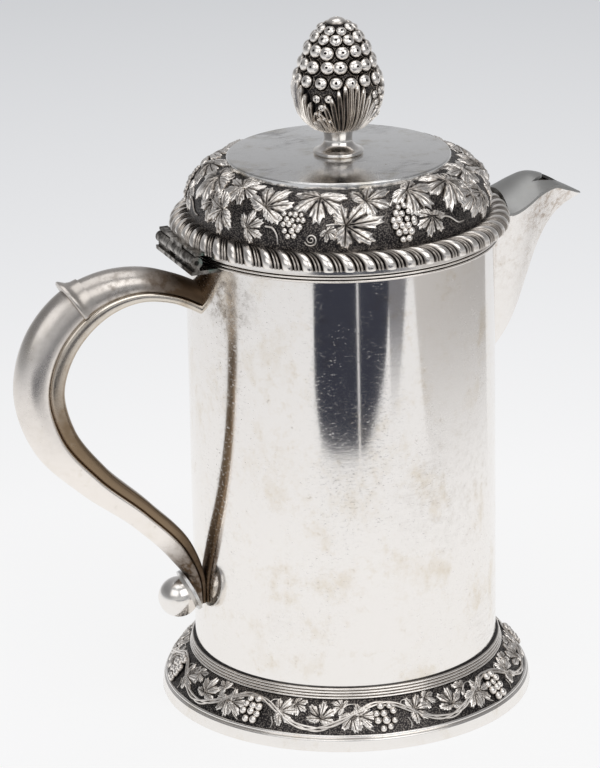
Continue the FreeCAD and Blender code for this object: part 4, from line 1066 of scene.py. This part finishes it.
def buildFinial():
    look = finialLook
    bore = look["bore"]
    low, flange, neck, top = look["spool"]
    footWide, neckWide, topWide = look["spoolWide"]
    flangeWide, flangeCentre = look["flange"]
    spool = [(bore, low), (flangeWide, low)]
    spool += arc((flangeCentre, (low + flange) / 2), (flange - low) / 2, -80, 85, 8)
    for height in np.linspace(flange, top, look["spoolSteps"]):
        wide = footWide if height < neck else topWide
        share = (neck - height) / (neck - flange) if height < neck else (height - neck) / (top - neck)
        spool.append((neckWide + (wide - neckWide) * share ** 2, float(height)))
    spool.append((bore, top))
    turnedPiece("finial_neck", spool, "lid", "silver_polished", spoolSilver, ["finial_spool"], segments=120)
    points, tone = turned(look["bud"], look["budTone"], look["budSegments"], close=False)
    gridPiece("fruit_core", points, "lid", "silver_oxidised", ground, ["finial_fruit"], tone, cap=True)
    skin = Skin(look["bud"])
    berries = Batch()
    strayTurn, strayUp = look["stray"]
    for height, count, start, size in look["rows"]:
        for berry in range(count):
            degrees = start + 360 / count * berry + rng.normal(0, strayTurn)
            place = (degrees, skin.alongAt(height + rng.normal(0, strayUp)))
            addBerry(berries, skin, place, size * rng.uniform(*look["sizes"]), *look["berry"])
    cap = np.array(look["top"])
    points, tones = turned(cap[:, :2], cap[:, 2], look["topSegments"], close=False)
    berries.grid(points, tones, closed=True)
    calyx = Batch()
    for leaf in range(look["leaves"]):
        shift = 360 / look["leaves"] * leaf
        for off, height, size in look["between"]:
            place = (look["gapAt"] + off + shift, skin.alongAt(height))
            addBerry(berries, skin, place, size, *look["berry"])
        for off, tip in look["fill"]:
            addRib(calyx, skin, look["gapAt"] + shift + off, 0.0, skin.alongAt(tip))
        for off, tip in look["ribs"]:
            for side in ((1,) if off == 0 else (-1, 1)):
                addRib(calyx, skin, look["firstLeaf"] + shift, side * off, skin.alongAt(tip), off == 0)
    berries.make("fruit_berries", "lid", "silver_oxidised", chased)
    calyx.make("calyx_leaves", "lid", "silver_oxidised", chased, ["finial_calyx"])


buildFinial()
print("finial ready")


# Handle: a swelling oval tube, the strip that closes it, its thumb ridge and the ball at its foot.
handleLook = {
    "stations": (  # reach from the pot's axis, height, half width, half depth
        (45.0, 138.0, 6.1, 4.4), (58.4, 144.8, 5.9, 4.6), (70.1, 147.4, 5.9, 5.6), (80.9, 146.0, 6.0, 6.9),
        (89.2, 142.2, 6.2, 7.9), (99.0, 132.1, 6.4, 8.4), (103.8, 116.7, 6.4, 8.0), (99.8, 100.2, 6.0, 7.4),
        (87.1, 84.1, 5.2, 5.9), (70.7, 69.4, 4.5, 4.8), (57.9, 55.2, 3.9, 4.3), (52.6, 44.2, 3.4, 2.7),
        (51.7, 36.0, 3.0, 1.8),
    ),
    "steps": 150,
    "sides": 48,
    "shellWrap": 9.0,
    "lip": ((-0.90, -0.24), (-0.78, -0.27), (0.0, -0.27), (0.78, -0.27), (0.90, -0.24)),
    "strip": (0.90, -1.0, -0.22),
    "stripSquare": 0.62,
    "ridgeAt": (89.2, 142.2),
    "ridge": (
        (-5.0, -0.1), (-3.0, 0.4), (-1.6, 1.2), (-0.7, 2.3), (0.0, 3.1), (0.5, 3.2), (0.9, 2.7), (1.05, 1.4),
        (1.15, -0.1),
    ),
    "ridgeSide": 0.35,
    "ridgeSharp": 1.5,
    "ball": (58.6, 38.9, 6.7),
    "ballMesh": (64, 40),
}


def buildHandle():
    look = handleLook
    stations = np.array(look["stations"])
    seg = runLengths(stations[:, :2])
    line = smoothLine(stations, seg, np.linspace(0, seg[-1], look["steps"]))
    along = unit(np.gradient(line[:, :2], axis=0))
    out = np.stack([-along[:, 1], along[:, 0]], axis=-1)  # away from the drum

    def section(rows, wide, depth):
        # wide and depth are shares of the station's half width and half depth.
        deep = line[rows, 3][:, None] * depth
        reach = line[rows, 0][:, None] + out[rows, 0][:, None] * deep
        height = line[rows, 1][:, None] + out[rows, 1][:, None] * deep
        return np.stack([-reach, line[rows, 2][:, None] * wide, height], axis=-1) * mm

    rows = np.arange(len(line))
    bend = np.radians(np.linspace(-look["shellWrap"], 180 + look["shellWrap"], look["sides"]))
    lip = np.array(look["lip"])
    wide = np.concatenate([np.cos(bend), lip[:, 0]])
    tube = section(rows, wide, np.concatenate([np.sin(bend), lip[:, 1]]))
    gridPiece("handle", tube, "pot", "silver_polished", handleSilver, ["handle_outer_half"], cap=True)
    wide, low, high = look["strip"]
    turns = fullTurn(look["sides"])
    square = [np.sign(part) * abs(part) ** look["stripSquare"] for part in (np.cos(turns), np.sin(turns))]
    depth = (low + high) / 2 + (high - low) / 2 * square[1]
    strip = section(rows, wide * square[0], depth)
    gridPiece("handle_strip", strip, "pot", "silver_polished", stripSilver, ["handle_inner_half"], cap=True)
    centre = int(np.argmin(np.linalg.norm(line[:, :2] - np.array(look["ridgeAt"]), axis=1)))
    rings = []
    swell = np.clip(np.sin(bend), 0, 1) ** look["ridgeSharp"]
    for shift, rise in look["ridge"]:
        grow = rise * (look["ridgeSide"] + (1 - look["ridgeSide"]) * swell)
        wide = np.cos(bend) * (1 + grow / line[centre, 2])
        deep = np.sin(bend) * (1 + grow / line[centre, 3])
        step = along[centre] * shift * mm
        rings.append(section(np.array([centre]), wide, deep)[0] + np.array([-step[0], 0.0, step[1]]))
    gridPiece(
        "thumb_ridge", np.array(rings), "pot", "silver_polished", handleSilver, ["handle_thumb_ridge"],
        closed=False, crease=50.0,
    )
    reach, height, radius = look["ball"]
    around, tall = look["ballMesh"]
    turns = fullTurn(around)
    tilt = np.linspace(-0.5, 0.5, tall)[:, None] * math.pi
    ball = np.stack([
        radius * np.cos(tilt) * np.cos(turns) - reach,
        radius * np.cos(tilt) * np.sin(turns),
        radius * np.sin(tilt) + height + 0 * turns,
    ], axis=-1) * mm
    gridPiece("ball_foot", ball, "pot", "silver_polished", polished, ["handle_ball"])


buildHandle()
print("handle ready")


# Spout cover: a crowned plate from the lid's path to the tip, with a barbed pouring mouth.
coverShape = {
    "stations": (  # reach from the pot's axis, half width, height of the edge, height of the crown
        (50.0, 14.5, 158.6, 161.0), (57.4, 13.2, 159.1, 164.2), (62.0, 11.95, 160.9, 166.5),
        (66.5, 10.3, 163.0, 167.8), (70.5, 8.4, 163.9, 167.1), (74.0, 6.6, 164.0, 165.5),
        (77.3, 5.0, 162.8, 163.3), (80.0, 3.5, 161.5, 161.9), (85.4, 0.5, 158.7, 158.9),
    ),
    "lidPath": 55.45,
    "across": 33,
    "rows": 90,
    "thick": 1.0,
    "corner": 0.02,
    "firstRow": 1.3,
    "tipThick": 0.3,
    "tipLength": 10.0,
    "lip": 0.12,
    "wallFoot": 158.0,
    "mouth": (  # one half, from the tip's side
        (77.4, 0.0), (75.6, -2.6), (73.2, -4.5), (70.4, -5.4), (67.7, -5.9), (65.3, -6.0), (67.6, -4.7),
        (69.5, -3.4), (71.0, -1.6), (71.6, 0.0),
    ),
    "mouthReach": (150.0, 175.0),
}


def buildCover():
    look = coverShape
    stations = np.array(look["stations"])
    share = np.linspace(-1, 1, look["across"])
    rootHalf = np.interp(look["lidPath"], stations[:, 0], stations[:, 1])
    start = np.sqrt(look["lidPath"] ** 2 - (share * rootHalf) ** 2)
    end = stations[-1, 0]
    length = end - start.min()
    thick = look["thick"]
    steps = [0.0, thick, thick + look["corner"]] + list(np.linspace(look["firstRow"], length, look["rows"]))
    loops = []
    # the first two rows are the wall that closes the spout towards the lid
    for row, step in enumerate(steps):
        reach = np.minimum(start + step * (end - start) / length, end)
        line = smoothLine(stations, stations[:, 0], reach)
        half, edge, crown = line[:, 1] + look["lip"], line[:, 2], line[:, 3]
        top = edge + (crown - edge) * (1 - share ** 2)
        thin = thick * np.clip(look["tipThick"] + (end - reach) / look["tipLength"], 0, 1)
        under = np.full_like(top, look["wallFoot"]) if row < 2 else top - thin
        upper = np.column_stack([reach, share * half, top])
        lower = np.column_stack([reach, share * half, under])
        loops.append(np.concatenate([upper, lower[::-1]]))
    batch = Batch()
    batch.grid(np.array(loops)[:, ::-1] * mm, closed=True, cap=True)
    last = 2 * look["across"] - 1
    batch.faces.extend([low, last - low, last - low - 1, low + 1] for low in range(look["across"] - 1))
    piece = batch.make("cover_plate", "pot", "silver_satin", coverSilver, ["spout_cover"])
    near = list(look["mouth"])
    outline = near + [(reach, -side) for reach, side in near[-2:0:-1]]
    cutOut(piece, outline[::-1], *look["mouthReach"])


buildCover()
print("spout cover ready")


# CAD pieces that stay take a finish each.
nodeFinish = {
    "body_bottom": satin,
    "spout_shell": spoutSilver,
    "spout_strainer": satin,
    "handle_end_plate": satin,
    "hinge_body_leaf": hingeMetal,
    "hinge_lid_leaf": hingeMetal,
    "hinge_pin": pinMetal,
    "lid_flange": polished,
    "lid_bezel": satin,
    "finial_stud": satin,
    "finial_washer": satin,
    "finial_nut": satin,
}
for name, finish in nodeFinish.items():
    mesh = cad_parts[name].data
    mesh.materials.clear()
    mesh.materials.append(finish)


# Stage: a pale floor that greys with distance, a soft grey room, dark and grey cards, lights and the camera.
stageLook = {
    "floorSize": 8.0,
    "floorHeight": -0.0002,
    "floorStops": [
        (0.0, (0.95, 0.95, 0.95)), (0.10, (0.95, 0.95, 0.955)), (0.25, (0.83, 0.835, 0.85)),
        (0.5, (0.66, 0.67, 0.69)), (1.0, (0.62, 0.63, 0.65)),
    ],
    "floorReach": 2.0,
    "floorRough": 0.7,
    "floorGloss": 0.2,
    "glow": 0.82,
    "glowStrength": 1.05,
    "roomStops": [
        (0.0, (0.80, 0.80, 0.80)), (0.5, (0.66, 0.67, 0.69)), (0.58, (0.55, 0.555, 0.57)),
        (0.68, (0.42, 0.42, 0.43)), (1.0, (0.36, 0.36, 0.37)),
    ],
    "dimSpan": (0.2, 0.9),
    "dim": 0.45,
    "cards": (  # near edge in degrees and metres, colour, length of the fade
        (((-26, 0.40), (-23, 0.350), (-16, 0.322), (-8, 0.315), (4, 0.315)), (0.014, 0.018, 0.040), 0.01),
        (((5.2, 0.316), (12, 0.335), (18, 0.37), (24, 0.43), (27, 0.50)), (0.014, 0.018, 0.040), 0.01),
        (((27, 0.34), (35, 0.42), (43, 0.60)), (0.22, 0.22, 0.24), 0.16),
        (((43, 0.62), (52, 0.36), (64, 0.25), (90, 0.23), (124, 0.23)), (0.72, 0.70, 0.68), 0.30),
    ),
    "cardSteps": 24,
    "cardTurn": 7.0,
    "cardEnd": 1.05,
    "cardHeight": 0.0003,
    "cardRough": 0.9,
    "lights": (  # name, place, aim, size, power
        ("top", (0.0, 0.0, 1.7), (0, 0, 0.1), (1.4, 1.4), 6),
        ("frontLeft", (-0.95, -0.80, 0.96), (0, 0, 0.12), (1.2, 0.9), 3),
        ("frontRight", (0.38, -1.17, 0.96), (0, 0, 0.12), (1.2, 0.9), 5),
    ),
}


def addCard(name, edge, colour, soft):
    # A card on the floor in front that only polished metal sees; it fades in from its near edge.
    look = stageLook
    degrees, reach = np.array(edge).T
    steps = np.linspace(degrees[0], degrees[-1], look["cardSteps"])
    inner = smoothLine(reach[:, None], degrees, steps)[:, 0]
    turns = np.radians(photoTurn + look["cardTurn"] + steps)
    rim = [(r * math.cos(t), r * math.sin(t), 0.0) for r, t in zip(inner, turns)]
    rim += [(look["cardEnd"] * math.cos(t), look["cardEnd"] * math.sin(t), 0.0) for t in turns[::-1]]
    card = addMesh(name, rim, [list(range(len(rim)))])
    card.location.z = look["cardHeight"]
    material, net, surface = newMaterial(name)
    fade = net.vector("LENGTH", net.place()).between(inner.min(), inner.min() + soft)
    net.wire(surface, {"Base Color": colour4(colour), "Roughness": look["cardRough"], "Alpha": fade})
    card.data.materials.append(material)
    card.visible_camera = False
    card.visible_diffuse = False
    card.visible_shadow = False


def addFloor():
    look = stageLook
    size = look["floorSize"] / 2
    corners = [(-size, -size, 0), (size, -size, 0), (size, size, 0), (-size, size, 0)]
    floor = addMesh("floor", corners, [(0, 1, 2, 3)])
    floor.location.z = look["floorHeight"]
    material, net, surface = newMaterial("floor")
    far = net.vector("LENGTH", net.place()) * (1 / look["floorReach"])
    tint = net.add("ShaderNodeValToRGB", {"stops": look["floorStops"]}, {"Fac": far})
    sockets = {"Base Color": tint, "Roughness": look["floorRough"], "Specular IOR Level": look["floorGloss"]}
    net.wire(surface, sockets)
    glow = net.add("ShaderNodeEmission", {}, {"Color": tint, "Strength": look["glowStrength"]})
    camera, glossy, through = [net.add("ShaderNodeLightPath", out=ray) for ray in (0, 3, 6)]
    seen = (camera + glossy + through).clamped() * look["glow"]
    mix = net.add("ShaderNodeMixShader", {}, {0: seen, 1: Sock(net.tree, surface.outputs[0]), 2: glow})
    net.wire(net.tree.nodes["Material Output"], {"Surface": mix})
    floor.data.materials.append(material)


def addRoom():
    look = stageLook
    world = bpy.data.worlds.new("studio")
    world.use_nodes = True
    bpy.context.scene.world = world
    net = Sock(world.node_tree)
    way = net.add("ShaderNodeTexCoord", out=0)
    height = net.add("ShaderNodeSeparateXYZ", {}, {0: way}, out=2)
    tint = net.add("ShaderNodeValToRGB", {"stops": look["roomStops"]}, {"Fac": height * 0.5 + 0.5})
    # the room is darker to the left and right of the camera
    side = math.radians(photoTurn + 270)
    toSide = net.vector("DOT_PRODUCT", way, (math.cos(side), math.sin(side), 0.0))
    dimmed = net.maths("ABSOLUTE", toSide).between(*look["dimSpan"]) * look["dim"]
    net.wire(net.tree.nodes["Background"], {"Color": tint, "Strength": 1 - dimmed})


def addLight(name, place, aim, size, power):
    data = bpy.data.lights.new(name, "AREA")
    data.shape = "RECTANGLE"
    data.size, data.size_y = size
    data.energy = power
    light = addObject(name, data)
    light.location = place
    light.rotation_euler = (Vector(aim) - Vector(place)).to_track_quat("-Z", "Y").to_euler()


cameraLook = {
    "back": 1.22104,
    "height": 0.52245,
    "pitch": 18.9135,
    "yaw": -0.6425,
    "roll": -1.0585,
    "lens": 185.27,
    "sensor": 36.0,
}


def addCamera():
    look = cameraLook
    data = bpy.data.cameras.new("camera")
    data.lens = look["lens"]
    data.sensor_width = look["sensor"]
    camera = addObject("camera", data)
    orbit = Matrix.Rotation(math.radians(photoTurn + 90), 4, "Z")
    place = Matrix.Translation((0, -look["back"], look["height"]))
    aim = Matrix.Rotation(math.radians(-look["yaw"]), 4, "Z")
    tilt = Matrix.Rotation(math.radians(90 - look["pitch"]), 4, "X")
    roll = Matrix.Rotation(math.radians(look["roll"]), 4, "Z")
    camera.matrix_world = orbit @ place @ aim @ tilt @ roll
    bpy.context.scene.camera = camera


addFloor()
for index, card in enumerate(stageLook["cards"]):
    addCard("dark_card_%d" % index, *card)
addRoom()
for light in stageLook["lights"]:
    addLight(*light)
addCamera()
bpy.context.scene.view_settings.view_transform = "Standard"
print("stage ready")
